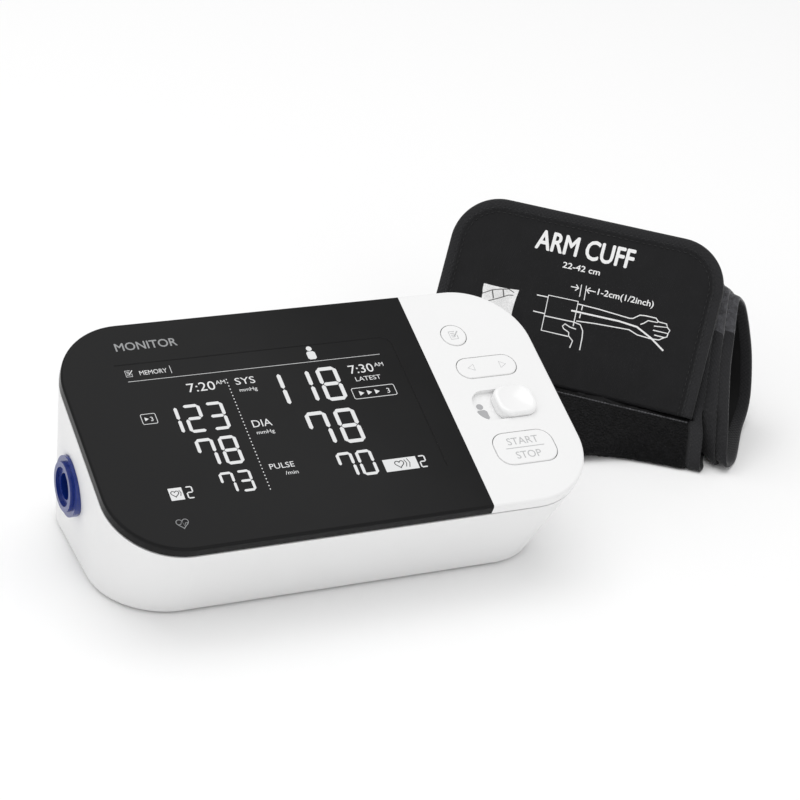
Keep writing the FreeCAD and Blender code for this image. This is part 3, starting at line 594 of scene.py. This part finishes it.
def display_extras():
    """Person sign, the lid's word and heart sign, and the line beside the display."""
    people = figure_mark(2.8, 80.2, 4.2)
    settle(join(people, "display_person"), on_lid(LID_T + 0.03), "monitor", SEGMENT_GREY)
    name = lettering("MONITOR", -71.2, 91.2, 3.8, 24.0, heavy=0.05)
    settle(name, on_lid(LID_T + 0.03), "monitor", PRINT_GREY, "lid_word")
    sign = [heart(-70.4, 11.6, 4.6, 0.3), stroke(((-72.4, 11.2), (-71.2, 11.2), (-70.5, 12.6), (-69.9, 10.4),
                                                  (-69.3, 11.6), (-68.2, 11.6)), 0.28)]
    settle(join(sign, "lid_heart_sign"), on_lid(LID_T + 0.03), "monitor", PRINT_GREY)
    edge = [stroke(((-74, 84.6), (33, 84.6), (35.6, 83.4), (36.8, 81), (36.8, 21)), 0.5)]
    settle(join(edge, "display_shadow_line"), on_lid(LID_T + 0.01), "monitor", LCD_TINT)


# ------------------------------------------------------------------ marks on the keys
def key_marks():
    """Marks and words on the keys and the switch."""
    top = LID_T + 0.3 + 0.02
    settle(join(memo_mark(63.5, 81.6, 2.0, 0.3), "memory_mark"), on_lid(top), "memory_key", KEY_PRINT)
    rocker = []
    for x, turn in ((64.6, -1), (77.9, 1)):
        rocker.append(stroke(((x + turn * 1.5, 64.75), (x - turn * 1.1, 66.25), (x - turn * 1.1, 63.25)), 0.3, True))
    settle(join(rocker, "rocker_marks"), on_lid(top), "rocker_key", KEY_PRINT)
    start = [lettering("START", 71.15, 26.2, 3.4, 13.2, "CENTER"), lettering("STOP", 71.15, 19.6, 3.4, 10.6, "CENTER"),
             stroke(((63.0, 24.7), (79.2, 24.7)), 0.32)]
    settle(join(start, "start_stop_words"), on_lid(top), "start_key", KEY_PRINT)
    settle(join(figure_mark(61.6, 44.0, 5.2), "switch_person"), on_lid(2.3 + 0.02), "monitor", ICON_GREY)


display_digits()
display_words()
display_extras()
key_marks()


# ------------------------------------------------------------------ soft goods: the rolled band
CENTRE = (25.0, 25.0)
AROUND = 172
WRAPS = {"outer": 8.5, "middle": 4.2, "inner": 0.0}
NEAR_DROP = 4.0
NEAR_LENGTH = 13.0
FLARE = 12.0
FLARE_LENGTH = 9.0
FOOT_NEAR, FOOT_FULL = 4.2, 10.2
FOOT_SLIDE = 3.0
HOLLOW_CORNER = math.radians(-138.0)
NEAR_END, END_SLANT, END_SKEW, SKEW_FROM = 17.3, 0.2, 0.1, 20.0
OPEN_ALONG, OPEN_DOWN = 0.4, 0.15
FLAP_GAP, GAP_OPENS, GAP_FROM = -3.15, 3.0, -3.6
TABLE_GAP = 0.15
SEAM_TOP, SEAM_BACK, SEAM_LOW = 47.0, 36.0, 13.0


def smooth_loop(points, steps=24):
    """Closed smooth line through section points."""
    count = len(points)
    line = []
    for index in range(count):
        p0, p1, p2, p3 = (points[(index + k) % count] for k in (-1, 0, 1, 2))
        for step in range(steps):
            t = step / steps
            line.append(tuple(0.5 * (2 * b + (c - a) * t + (2 * a - 5 * b + 4 * c - d) * t * t +
                                     (3 * b - a - 3 * c + d) * t ** 3) for a, b, c, d in zip(p0, p1, p2, p3)))
    return line


def reach_table(points):
    """Sorted list of (direction, reach) from the roll's middle line to a section."""
    rows = [(math.atan2(z - CENTRE[1], v - CENTRE[0]), math.hypot(v - CENTRE[0], z - CENTRE[1]))
            for v, z in smooth_loop(points)]
    rows.sort()
    return [(rows[-1][0] - 2 * math.pi, rows[-1][1])] + rows + [(rows[0][0] + 2 * math.pi, rows[0][1])]


def reach(rows, angle):
    """Reach in one direction, between the two nearest rows of a table."""
    low, high = 0, len(rows) - 1
    while high - low > 1:
        middle = (low + high) // 2
        if rows[middle][0] <= angle:
            low = middle
        else:
            high = middle
    (a0, r0), (a1, r1) = rows[low], rows[high]
    return r0 + (r1 - r0) * (angle - a0) / max(1e-9, a1 - a0)


def even_directions():
    """Directions round the roll, evenly spaced along its fuller section."""
    line = smooth_loop(ROLL_MIDDLE)
    line.append(line[0])
    lengths = [0.0]
    for a, b in zip(line, line[1:]):
        lengths.append(lengths[-1] + math.dist(a, b))
    found, index = [], 0
    for step in range(AROUND):
        goal = lengths[-1] * step / AROUND
        while lengths[index + 1] < goal:
            index += 1
        share = (goal - lengths[index]) / (lengths[index + 1] - lengths[index])
        v = line[index][0] + share * (line[index + 1][0] - line[index][0])
        z = line[index][1] + share * (line[index + 1][1] - line[index][1])
        found.append(math.atan2(z - CENTRE[1], v - CENTRE[0]))
    return found


END_ROWS, MIDDLE_ROWS, HOLLOW_ROWS = reach_table(ROLL_END), reach_table(ROLL_MIDDLE), reach_table(ROLL_HOLLOW)
DIRECTIONS = even_directions()


def wall_at(index, inset):
    """Hollow's reach and the wall's thickness for one direction and distance in from the near end."""
    angle = DIRECTIONS[index % AROUND]
    hollow = reach(HOLLOW_ROWS, angle)
    ending = reach(END_ROWS, angle)
    fuller = reach(MIDDLE_ROWS, angle)
    along = NEAR_END - END_SLANT * (CENTRE[1] + ending * math.sin(angle)) - inset
    share = clamp((-10.0 - along) / 35.0)
    return hollow, ending + (fuller - ending) * share - hollow


def fall(value, full, none):
    """Smooth share that goes from one at full to nothing at none."""
    share = clamp((none - value) / (none - full))
    return share * share * (3 - 2 * share)


def forward_shift(v, z, inset, out, thick):
    """Three distances for the lower front: forwards in all, forwards at the open end alone, and along the roll.

    The foot's share is left out within 7 mm of the hollow, where the bladder and the former stay as in CAD.
    """
    front = fall(v, 12.0, 34.0)
    opened = FLARE * max(0.0, 1.0 - (max(0.0, inset) / FLARE_LENGTH) ** 1.5) * fall(z, 8.0, 44.0) * front
    foot = FOOT_NEAR + (FOOT_FULL - FOOT_NEAR) * clamp((inset - 8.5) / 50.0)
    share = clamp((out - 7.0) / max(1.0, thick - 9.0)) * clamp((thick - 9.0) / 4.0)
    slide = FOOT_SLIDE * share * fall(z, 4.0, 30.0) * fall(inset, 8.5, 40.0) * front
    return opened + foot * share * fall(z, 4.0, 22.0) * front, opened, slide


def roll_point(index, inset, out):
    """Place on the roll, a distance outwards from its hollow, in metres."""
    angle = DIRECTIONS[index % AROUND]
    hollow, thick = wall_at(index, inset)
    far = hollow + out
    v = CENTRE[0] + far * math.cos(angle)
    z = max(TABLE_GAP, CENTRE[1] + far * math.sin(angle))
    shift, opened, slide = forward_shift(v, z, inset, out, thick)
    u = NEAR_END - END_SLANT * z + END_SKEW * (v - SKEW_FROM) - inset + OPEN_ALONG * opened + slide
    v -= shift
    z = max(TABLE_GAP, z - OPEN_DOWN * opened)
    w = v * math.sin(FLAP_LEAN) + (z - FLAP_FOOT) * math.cos(FLAP_LEAN)
    n = (z - FLAP_FOOT) * math.sin(FLAP_LEAN) - v * math.cos(FLAP_LEAN)
    limit = FLAP_GAP + GAP_OPENS * max(0.0, u - 0.5)
    if w > GAP_FROM and n > limit:
        n = limit
        v = w * math.sin(FLAP_LEAN) - n * math.cos(FLAP_LEAN)
        z = FLAP_FOOT + w * math.cos(FLAP_LEAN) + n * math.sin(FLAP_LEAN)
    rise = max(0.0, (z - 22.0) / 44.0)
    z -= NEAR_DROP * fall(inset, 0.0, NEAR_LENGTH) * min(1.0, rise) ** 1.4
    return Vector((u * MM, v * MM, z * MM))


def cloth_grid(name, rows, closed_rows=True, closed_columns=True, threads=1000.0):
    """Mesh from rows of points, with a cloth map in millimetres along its threads."""
    tall, wide = len(rows), len(rows[0])
    mesh = bpy.data.meshes.new(name)
    faces, corners = [], []
    along = [0.0]
    for i in range(tall):
        along.append(along[-1] + (rows[(i + 1) % tall][0] - rows[i][0]).length * threads)
    across = [0.0]
    for j in range(wide):
        across.append(across[-1] + (rows[0][(j + 1) % wide] - rows[0][j]).length * threads)
    for i in range(tall if closed_rows else tall - 1):
        for j in range(wide if closed_columns else wide - 1):
            k, m = (i + 1) % tall, (j + 1) % wide
            faces.append((i * wide + j, k * wide + j, k * wide + m, i * wide + m))
            corners += [(along[i], across[j]), (along[i + 1], across[j]), (along[i + 1], across[j + 1]),
                        (along[i], across[j + 1])]
    mesh.from_pydata([tuple(p) for row in rows for p in row], [], faces)
    threads_map = mesh.uv_layers.new(name="threads")
    for loop, corner in zip(threads_map.data, corners):
        loop.uv = corner
    piece = bpy.data.objects.new(name, mesh)
    bpy.context.collection.objects.link(piece)
    only(piece)
    mend(fill=False)
    bpy.ops.object.shade_smooth()
    return piece


def layer_edges(layer, index, inset):
    """Inner and outer distance of one wrap from the hollow."""
    thick = wall_at(index, inset)[1]
    end = min(inset, BAND - inset)
    if layer == "inner":
        pinch = clamp((14.0 - end) / 14.0)
        pinch = pinch * pinch * (3 - 2 * pinch)
        tight = fall(abs(DIRECTIONS[index % AROUND] - HOLLOW_CORNER), 0.2, 0.6) * (1.0 - fall(end, 5.0, 9.0))
        return 0.3 + (min(0.40 * thick, 2.3) - 0.3) * pinch - 1.4 * tight, min(0.64 * thick, 3.8)
    if layer == "middle":
        return min(0.66 * thick, 3.9), min(0.84 * thick, 6.5)
    return thick - min(0.14 * thick, 1.6), thick


def crease(index, inset, size):
    """Soft wrinkles that run mostly along the roll."""
    where = Vector((inset * 0.035, math.cos(2 * math.pi * index / AROUND) * 3.4,
                    math.sin(2 * math.pi * index / AROUND) * 3.4))
    return size * noise.fractal(where, 0.9, 2.0, 4)


def roll_wrap(layer, name):
    """One wrap of the band: a closed skin with round ends."""
    near = WRAPS[layer] + 1.0
    far = BAND - near
    stations = [near + (far - near) * k / 46 for k in range(47)]
    rows = []
    for index in range(AROUND):
        row = []
        for inset in stations:
            end = min(inset, BAND - inset)
            calm = clamp((end - 8.0) / 12.0)
            outer = layer_edges(layer, index, inset)[1]
            row.append(roll_point(index, inset, outer + (crease(index, inset, 0.35) * calm - 0.2)))
        for inset in reversed(stations):
            end = min(inset, BAND - inset)
            calm = clamp((end - 6.0) / 10.0)
            inner = layer_edges(layer, index, inset)[0]
            size = 1.1 if layer == "inner" else 0.0
            row.append(roll_point(index, inset, inner + min(0.2, crease(index + 40, inset, size)) * calm))
        rows.append(row)
    return cloth_grid(name, rows)


def squared(value, power):
    """Signed power, which squares off a round profile."""
    return abs(value) ** power * (1 if value > 0 else -1)


def end_tape(layer, far_end, name):
    """Tape folded over one end of a wrap, puckered by its stitches."""
    start = WRAPS[layer]
    rows = []
    for index in range(AROUND):
        row = []
        pucker = 0.10 * math.cos(index * 2 * math.pi / 2.5)
        for turn in range(20):
            angle = 2 * math.pi * turn / 20
            push, lift = squared(math.cos(angle), 0.45), squared(math.sin(angle), 0.6)
            inset = start + 2.5 + 2.6 * push
            if far_end:
                inset = BAND - inset
            low, high = layer_edges(layer, index, inset)
            swell = 0.42 * (1.0 - 0.55 * max(0.0, push)) + pucker * 0.5
            row.append(roll_point(index, inset, (low + high) / 2 + ((high - low) / 2 + swell) * lift))
        rows.append(row)
    return cloth_grid(name, rows)


def one_stitch():
    """Points and faces of a small round grain."""
    bpy.ops.object.select_all(action="DESELECT")
    bpy.ops.mesh.primitive_uv_sphere_add(segments=6, ring_count=4, radius=1.0)
    piece = bpy.context.active_object
    verts = [v.co.copy() for v in piece.data.vertices]
    faces = [tuple(p.vertices) for p in piece.data.polygons]
    bpy.data.objects.remove(piece)
    return verts, faces


STITCH = one_stitch()


def stitch_row(name, path, normals, pitch=2.7, length=1.7, thick=0.36):
    """Row of stitches sunk in the cloth along a path in metres."""
    verts, faces = [], []
    travelled, goal = 0.0, pitch / 2
    for (a, b), up in zip(zip(path, path[1:]), normals):
        step = (b - a).length / MM
        if step < 1e-6:
            continue
        while goal <= travelled + step:
            spot = a.lerp(b, (goal - travelled) / step)
            ahead = (b - a).normalized()
            side = ahead.cross(up).normalized()
            rise = side.cross(ahead)
            first = len(verts)
            for co in STITCH[0]:
                grain = ahead * co.x * length / 2 + side * co.y * thick / 2 + rise * co.z * thick / 2
                verts.append(spot + grain * MM)
            faces += [tuple(first + k for k in face) for face in STITCH[1]]
            goal += pitch
        travelled += step
    mesh = bpy.data.meshes.new(name)
    mesh.from_pydata([tuple(v) for v in verts], [], faces)
    piece = bpy.data.objects.new(name, mesh)
    bpy.context.collection.objects.link(piece)
    for polygon in mesh.polygons:
        polygon.use_smooth = True
    return piece


def tape_stitches(layer, far_end, name):
    """Stitches round one end's tape."""
    path, normals = [], []
    inset = WRAPS[layer] + 4.1
    if far_end:
        inset = BAND - inset
    for index in range(AROUND + 1):
        high = layer_edges(layer, index, inset)[1]
        spot = roll_point(index, inset, high + 0.36)
        path.append(spot)
        normals.append((spot - roll_point(index, inset, high - 3.0)).normalized())
    return stitch_row(name, path, normals)


def two_cloths(piece, grey):
    """Grey loop cloth over the outside of the roll's top and back; the rest keeps its first material."""
    piece.data.materials.append(grey)
    wide = len(piece.data.polygons) // AROUND
    for index in range(AROUND):
        strip = piece.data.polygons[index * wide:(index + 1) * wide]
        v = sum(polygon.center.y for polygon in strip) / wide / MM
        z = sum(polygon.center.z for polygon in strip) / wide / MM
        if z > SEAM_TOP or (v > SEAM_BACK and z > SEAM_LOW):
            for polygon in strip:
                outwards = polygon.normal.y * (v - CENTRE[0]) + polygon.normal.z * (z - CENTRE[1])
                polygon.material_index = 1 if outwards > -2.0 else 0


def rolled_band():
    """Three wraps with their taped ends, and the turns between the outer two."""
    place = on_cuff()
    # The inner wrap takes the lining colour, which carries painted shade of the hollow.
    for layer, name, cloth in (("outer", "roll_outer_wrap", NYLON), ("middle", "roll_middle_wrap", NYLON),
                               ("inner", "roll_inner_wrap", LINING_AND_HOLLOW_SHADE)):
        piece = roll_wrap(layer, name)
        piece.data.materials.append(cloth)
        if layer != "inner":
            two_cloths(piece, GREY_LOOPS)
        piece.data.transform(place)
        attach(piece, "cuff")
        if layer == "outer":
            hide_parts("cuff_cover")
        elif layer == "inner":
            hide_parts("cuff_lining")
        for far_end in (False, True):
            side = "far" if far_end else "near"
            tape = end_tape(layer, far_end, f"roll_{layer}_tape_{side}")
            tape.data.materials.append(TAPE)
            two_cloths(tape, GREY_TAPE)
            tape.data.transform(place)
            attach(tape, "cuff")
            if layer == "outer" and not far_end:
                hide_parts("end_bindings")
            thread = tape_stitches(layer, far_end, f"roll_{layer}_stitches_{side}")
            settle(thread, place, "cuff", THREAD)
    rows, stations = [], (11.5, 30.0, 60.0, 91.0, 109.5)
    for index in range(AROUND):
        row = [roll_point(index, inset, layer_edges("outer", index, inset)[0] - 0.05) for inset in stations]
        row += [roll_point(index, inset, layer_edges("middle", index, inset)[1] + 0.05) for inset in stations[::-1]]
        rows.append(row)
    # The turns between the outer wraps take the lining colour, with its painted shade.
    wad = settle(cloth_grid("roll_inner_turns", rows), place, "cuff", LINING_AND_HOLLOW_SHADE)


# ------------------------------------------------------------------ soft goods: the pile on the foot
def pile_on_foot():
    """Looped pile sewn on the foot's front, a laid sheet with a ragged nap."""
    stations = [14.0 + (BAND - 21.0) * k / 150 for k in range(151)]

    def lowest_and_highest(inset):
        """Marks where the foot's front leaves the table and where it meets the flap."""
        low = high = None
        before = None
        for index in range(AROUND // 2, AROUND):
            spot = roll_point(index, inset, wall_at(index, inset)[1])
            v, z = spot.y / MM, spot.z / MM
            w = v * math.sin(FLAP_LEAN) + (z - FLAP_FOOT) * math.cos(FLAP_LEAN)
            if before and v < 8.0:
                if low is None and z > 0.8 >= before[0]:
                    low = index - 1 + (0.8 - before[0]) / max(1e-6, z - before[0])
                if low is not None and high is None and w > -4.0 >= before[1]:
                    high = index - 1 + (-4.0 - before[1]) / max(1e-6, w - before[1])
            before = (z, w)
        return low, high

    ends = [lowest_and_highest(inset) for inset in stations]

    def between(mark, inset, out):
        """Place at a mark between two directions, a distance outside the roll."""
        low = int(mark)
        share = mark - low
        a = roll_point(low, inset, wall_at(low, inset)[1] + out)
        b = roll_point(low + 1, inset, wall_at(low + 1, inset)[1] + out)
        return a.lerp(b, share)

    rows = []
    for place_index in range(45):
        row = []
        rim = min(place_index, 44 - place_index)
        marks = [low + (high - low) * place_index / 44 for low, high in ends]
        for k, inset in enumerate(stations):
            mark = marks[k]
            edge = min(1.0, min(rim, k, 150 - k) / 2.0)
            where = Vector((inset * 0.9, mark * 1.1, 3.0))
            nap = 0.32 * noise.noise(where) + 0.22 * noise.noise(where * 2.7)
            row.append(between(mark, inset, 0.25 + (0.75 + nap) * edge))
        for mark, inset in zip(reversed(marks), reversed(stations)):
            row.append(between(mark, inset, 0.02))
        rows.append(row)
    piece = cloth_grid("foot_pile", rows, closed_rows=False)
    mend(turn=False)
    seam = [between(high - 0.35, inset, 0.9) for (low, high), inset in zip(ends, stations)]
    outwards = [(spot - between(high - 0.35, inset, -3.0)).normalized()
                for spot, (low, high), inset in zip(seam, ends, stations)]
    selvedge = settle(stitch_row("pile_selvedge", seam, outwards, 1.35, 1.5, 0.75), on_cuff(), "cuff", GREY_LOOPS)
    settle(piece, on_cuff(), "cuff", BLACK_PILE)
    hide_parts("pile_band")


# ------------------------------------------------------------------ soft goods: the flap
def flap_top(u):
    """Height of the flap's edge above its lower end, at a place along it, moved in by its seam."""
    r = FLAP_R - SEAM
    dx = max(0.0, -BAND + SEAM + r - u, u + SEAM + r)
    return FLAP_TOP - SEAM - r + math.sqrt(max(0.0, r * r - dx * dx))


def from_seam(u, w):
    """Distance of a place on the flap from its nearest sewn edge."""
    return min(u + BAND - SEAM, -SEAM - u, w - FLAP_LOW, flap_top(u) - w)


def flap_cloth():
    """Padded flap blown up a little by cloth simulation inside its sewn edge."""
    wide, tall = 74, 46
    front, back = [], []
    for i in range(wide + 1):
        u = -BAND + SEAM + (BAND - 2 * SEAM) * (i / wide)
        top = flap_top(u)
        front.append([Vector((u, FLAP_LOW + (top - FLAP_LOW) * j / tall, -0.1)) * MM for j in range(tall + 1)])
        back.append([Vector((u, FLAP_LOW + (top - FLAP_LOW) * j / tall, -2.5)) * MM for j in range(tall + 1)])
    rows = [front[i] + back[i][::-1] for i in range(wide + 1)]
    piece = cloth_grid("flap_cloth", rows, closed_rows=False)
    mend()
    mesh = piece.data
    start = [v.co.copy() for v in mesh.vertices]
    sewn = piece.vertex_groups.new(name="sewn")
    for v in mesh.vertices:
        sewn.add([v.index], 1.0 if from_seam(v.co.x / MM, v.co.y / MM) < 3.4 else 0.0, "REPLACE")
    cloth = piece.modifiers.new("puff", "CLOTH")
    cloth.settings.quality = 5
    cloth.settings.mass = 0.15
    cloth.settings.tension_stiffness = 30
    cloth.settings.compression_stiffness = 30
    cloth.settings.bending_stiffness = 4
    cloth.settings.use_pressure = True
    cloth.settings.uniform_pressure_force = 4.0
    cloth.settings.effector_weights.gravity = 0.0
    cloth.settings.vertex_group_mass = "sewn"
    cloth.collision_settings.use_collision = False
    cloth.point_cache.frame_start = 1
    cloth.point_cache.frame_end = 20
    for frame_number in range(1, 21):
        bpy.context.scene.frame_set(frame_number)
    bpy.context.view_layer.objects.active = piece
    bpy.ops.object.modifier_apply(modifier=cloth.name)
    bpy.context.scene.frame_set(1)
    mesh = piece.data
    for v, was in zip(mesh.vertices, start):
        lift = v.co.z - was.z
        face = was.z > -0.001
        rippled = 0.22 * noise.fractal(Vector((was.x * 22, was.y * 30, 1.0 if face else 5.0)), 0.9, 2.0, 3)
        calm = clamp((from_seam(was.x / MM, was.y / MM) - 3.0) / 8.0)
        if face:
            lift = min(0.75 * MM, max(-0.1 * MM, lift))
        else:
            lift = max(-0.35 * MM, min(0.1 * MM, lift))
        v.co = Vector((was.x, was.y, was.z + lift + rippled * MM * calm * (1.0 if face else 0.3)))
    piece.modifiers.clear()
    piece.vertex_groups.clear()
    return piece


def flap_height_finder(piece):
    """Callable that gives the cloth's front height, in metres, at a place on the flap."""
    from mathutils.bvhtree import BVHTree
    tree = BVHTree.FromPolygons([tuple(v.co) for v in piece.data.vertices],
                                [tuple(p.vertices) for p in piece.data.polygons])

    def height(x, y):
        """Height of the cloth's face under a place."""
        hit = tree.ray_cast(Vector((x, y, 0.02)), Vector((0, 0, -1)))
        return hit[0].z if hit[0] is not None else 0.0

    return height


def edge_line(inset, step=1.2):
    """Path along the flap's free edges, up the left side, over the top and down the right."""
    r = FLAP_R - inset
    left, right, top = -BAND + inset, -inset, FLAP_TOP - inset
    points = []
    count = int((top - r - FLAP_LOW) / step)
    points += [(left, FLAP_LOW + (top - r - FLAP_LOW) * k / count, (1, 0)) for k in range(count)]
    arc = int(math.pi / 2 * FLAP_R / step)
    for k in range(arc):
        a = math.pi - math.pi / 2 * k / arc
        points.append((left + r + r * math.cos(a), top - r + r * math.sin(a), (-math.cos(a), -math.sin(a))))
    count_top = int((right - left - 2 * r) / step)
    points += [(left + r + (right - left - 2 * r) * k / count_top, top, (0, -1)) for k in range(count_top)]
    for k in range(arc):
        a = math.pi / 2 - math.pi / 2 * k / arc
        points.append((right - r + r * math.cos(a), top - r + r * math.sin(a), (-math.cos(a), -math.sin(a))))
    points += [(right, top - r - (top - r - FLAP_LOW) * k / count, (-1, 0)) for k in range(count + 1)]
    return points


def flap_tape(name):
    """Ribbed tape folded over the flap's free edges."""
    profile = []
    for turn in range(22):
        angle = 2 * math.pi * turn / 22
        push, lift = squared(math.cos(angle), 0.5), squared(math.sin(angle), 0.6)
        profile.append((2.55 + 2.55 * push, -1.28 + 1.78 * lift * (1.0 - 0.16 * max(0.0, push))))
    rows = []
    for k, (u, w, inward) in enumerate(edge_line(0.0)):
        pucker = 0.07 * math.cos(2 * math.pi * k / 2.25)
        rows.append([Vector((u + inward[0] * s, w + inward[1] * s, n + pucker * (1 if n > 0 else 0))) * MM
                     for s, n in profile])
    piece = cloth_grid(name, rows, closed_rows=False)
    mend()
    return piece


def soft_patch(name, u0, u1, w0, w1, n0, n1, fuzz, step=0.8):
    """Sewn patch with a slightly crowned, uneven face."""
    wide, tall = max(4, int((u1 - u0) / step)), max(4, int((w1 - w0) / step))
    rows = []
    for i in range(wide + 1):
        u = u0 + (u1 - u0) * i / wide
        top, bottom = [], []
        for j in range(tall + 1):
            w = w0 + (w1 - w0) * j / tall
            edge = min(1.0, min(i, wide - i, j, tall - j) / 1.5)
            rise = n1 - (n1 - n0) * 0.6 * (1 - edge) + fuzz * edge * noise.noise(Vector((u * 1.3, w * 1.3, 2.0)))
            top.append(Vector((u, w, rise)) * MM)
            bottom.append(Vector((u, w, n0)) * MM)
        rows.append(top + bottom[::-1])
    piece = cloth_grid(name, rows, closed_rows=False)
    mend()
    return piece


def follow_cloth(piece, height, lift=0.05):
    """Lay flat print on the puffed cloth."""
    for v in piece.data.vertices:
        v.co.z += height(v.co.x, v.co.y) + lift * MM


def flap_print(height):
    """White print: words, how far above the elbow, and the arm in the cuff."""
    pieces = [
        lettering("ARM CUFF", -62.0, 53.6, 8.6, 43.0, "CENTER", 0.25),
        lettering("22-42 cm", -61.5, 47.8, 2.6, 16.5, "CENTER", 0.06),
        lettering("1-2cm(1/2inch)", -52.0, 39.6, 2.7, 24.6, heavy=0.05),
        stroke(((-64.0, 40.5), (-60.5, 40.5)), 0.5), stroke(((-61.9, 41.8), (-60.5, 40.5), (-61.9, 39.2)), 0.5),
        stroke(((-53.0, 40.5), (-57.0, 40.5)), 0.5), stroke(((-55.6, 41.8), (-57.0, 40.5), (-55.6, 39.2)), 0.5),
        stroke(((-59.7, 42.3), (-59.3, 37.0)), 0.4), stroke(((-57.5, 42.3), (-57.0, 36.0)), 0.4),
        stroke(((-77.5, 33.7), (-72.5, 33.8)), 0.5), stroke(((-77.3, 26.5), (-72.3, 26.5)), 0.5),
        stroke(((-59.8, 19.2), (-71.8, 19.2), (-72.5, 34.7), (-59.3, 34.9), (-58.8, 24.0)), 0.5),
        stroke(((-72.0, 25.6), (-59.0, 25.8), (-56.0, 25.3), (-54.3, 23.0), (-53.8, 20.0), (-53.5, 14.6)), 0.5),
        stroke(((-57.0, 33.5), (-57.0, 31.5)), 0.5), stroke(((-57.0, 30.0), (-57.0, 28.0)), 0.5),
        stroke(((-59.0, 33.8), (-50.0, 33.6), (-36.0, 32.7), (-34.5, 33.0), (-32.0, 35.0), (-29.5, 35.3),
                (-25.0, 35.3), (-23.8, 34.3), (-24.0, 33.6), (-28.0, 33.5), (-29.5, 32.0), (-30.8, 31.2)), 0.5),
        stroke(((-24.0, 34.0), (-20.0, 33.9), (-19.3, 32.5), (-25.0, 31.8)), 0.5),
        stroke(((-19.3, 32.5), (-18.0, 31.5), (-18.4, 30.0), (-25.0, 30.0)), 0.5),
        stroke(((-18.4, 30.0), (-18.5, 28.5), (-19.5, 28.0), (-24.0, 28.1)), 0.5),
        stroke(((-19.5, 28.0), (-21.5, 26.5), (-25.0, 26.2)), 0.5),
        stroke(((-58.0, 26.5), (-50.0, 27.2), (-35.0, 27.9), (-31.0, 26.5), (-25.0, 26.2)), 0.5),
        stroke(((-61.3, 30.4), (-40.0, 30.5), (-32.0, 29.8), (-25.0, 26.5), (-18.6, 22.4)), 0.8),
        stroke(((-57.3, 23.0), (-60.0, 23.3), (-62.5, 24.2), (-63.3, 23.0), (-62.5, 22.0), (-60.0, 21.0),
                (-59.7, 19.5), (-57.5, 17.8), (-57.9, 14.6)), 0.5),
    ]
    print_piece = join(pieces, "flap_print")
    follow_cloth(print_piece, height)
    settle(print_piece, on_flap(), "flap", PRINT_WHITE)
    drawn = [stroke(((-101.0, 29.0), (-97.0, 31.5), (-93.5, 32.6), (-90.0, 33.4), (-87.4, 32.4)), 0.34),
             stroke(((-101.2, 24.0), (-97.2, 26.6), (-93.0, 28.8), (-89.5, 30.8), (-87.4, 31.2)), 0.34),
             stroke(((-97.0, 31.5), (-95.6, 28.0)), 0.5), stroke(((-92.5, 32.8), (-91.4, 29.9)), 0.5),
             stroke(((-99.0, 20.0), (-95.5, 22.5), (-92.5, 22.0), (-89.5, 24.0)), 0.3)]
    settle(join(drawn, "label_drawing"), on_flap(0.48), "flap", INK)


def flap_goods():
    """The flap's pad, print, tape, stitches, hook tape and label."""
    cloth = flap_cloth()
    height = flap_height_finder(cloth)
    flap_print(height)
    settle(cloth, on_flap(), "flap", NYLON)
    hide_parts("flap_panel")
    tape = settle(flap_tape("flap_edge_tape"), on_flap(), "flap", TAPE)
    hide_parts("flap_binding")
    for name, inset in (("flap_stitches", 4.0), ("flap_seam_stitches", 6.0)):
        path = [Vector((u, w, 0.62 if inset < 5 else 0.2)) * MM for u, w, _ in edge_line(inset)]
        row = stitch_row(name, path, [Vector((0, 0, 1))] * len(path), 2.6, 1.8, 0.34)
        settle(row, on_flap(), "flap", THREAD)
    hook = settle(soft_patch("flap_hook_tape", -102, -19, 58.5, 65.5, -2.5, -3.7, 0.12, 0.7), on_flap(), "flap",
                  BLACK_PILE)
    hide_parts("flap_hook")
    label = settle(soft_patch("sewn_label", -102.2, -85.2, 16.0, 34.3, 0.0, 0.42, 0.03, 1.0), on_flap(), "flap",
                   LABEL_WHITE)
    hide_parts("arm_label")


rolled_band()
pile_on_foot()
flap_goods()
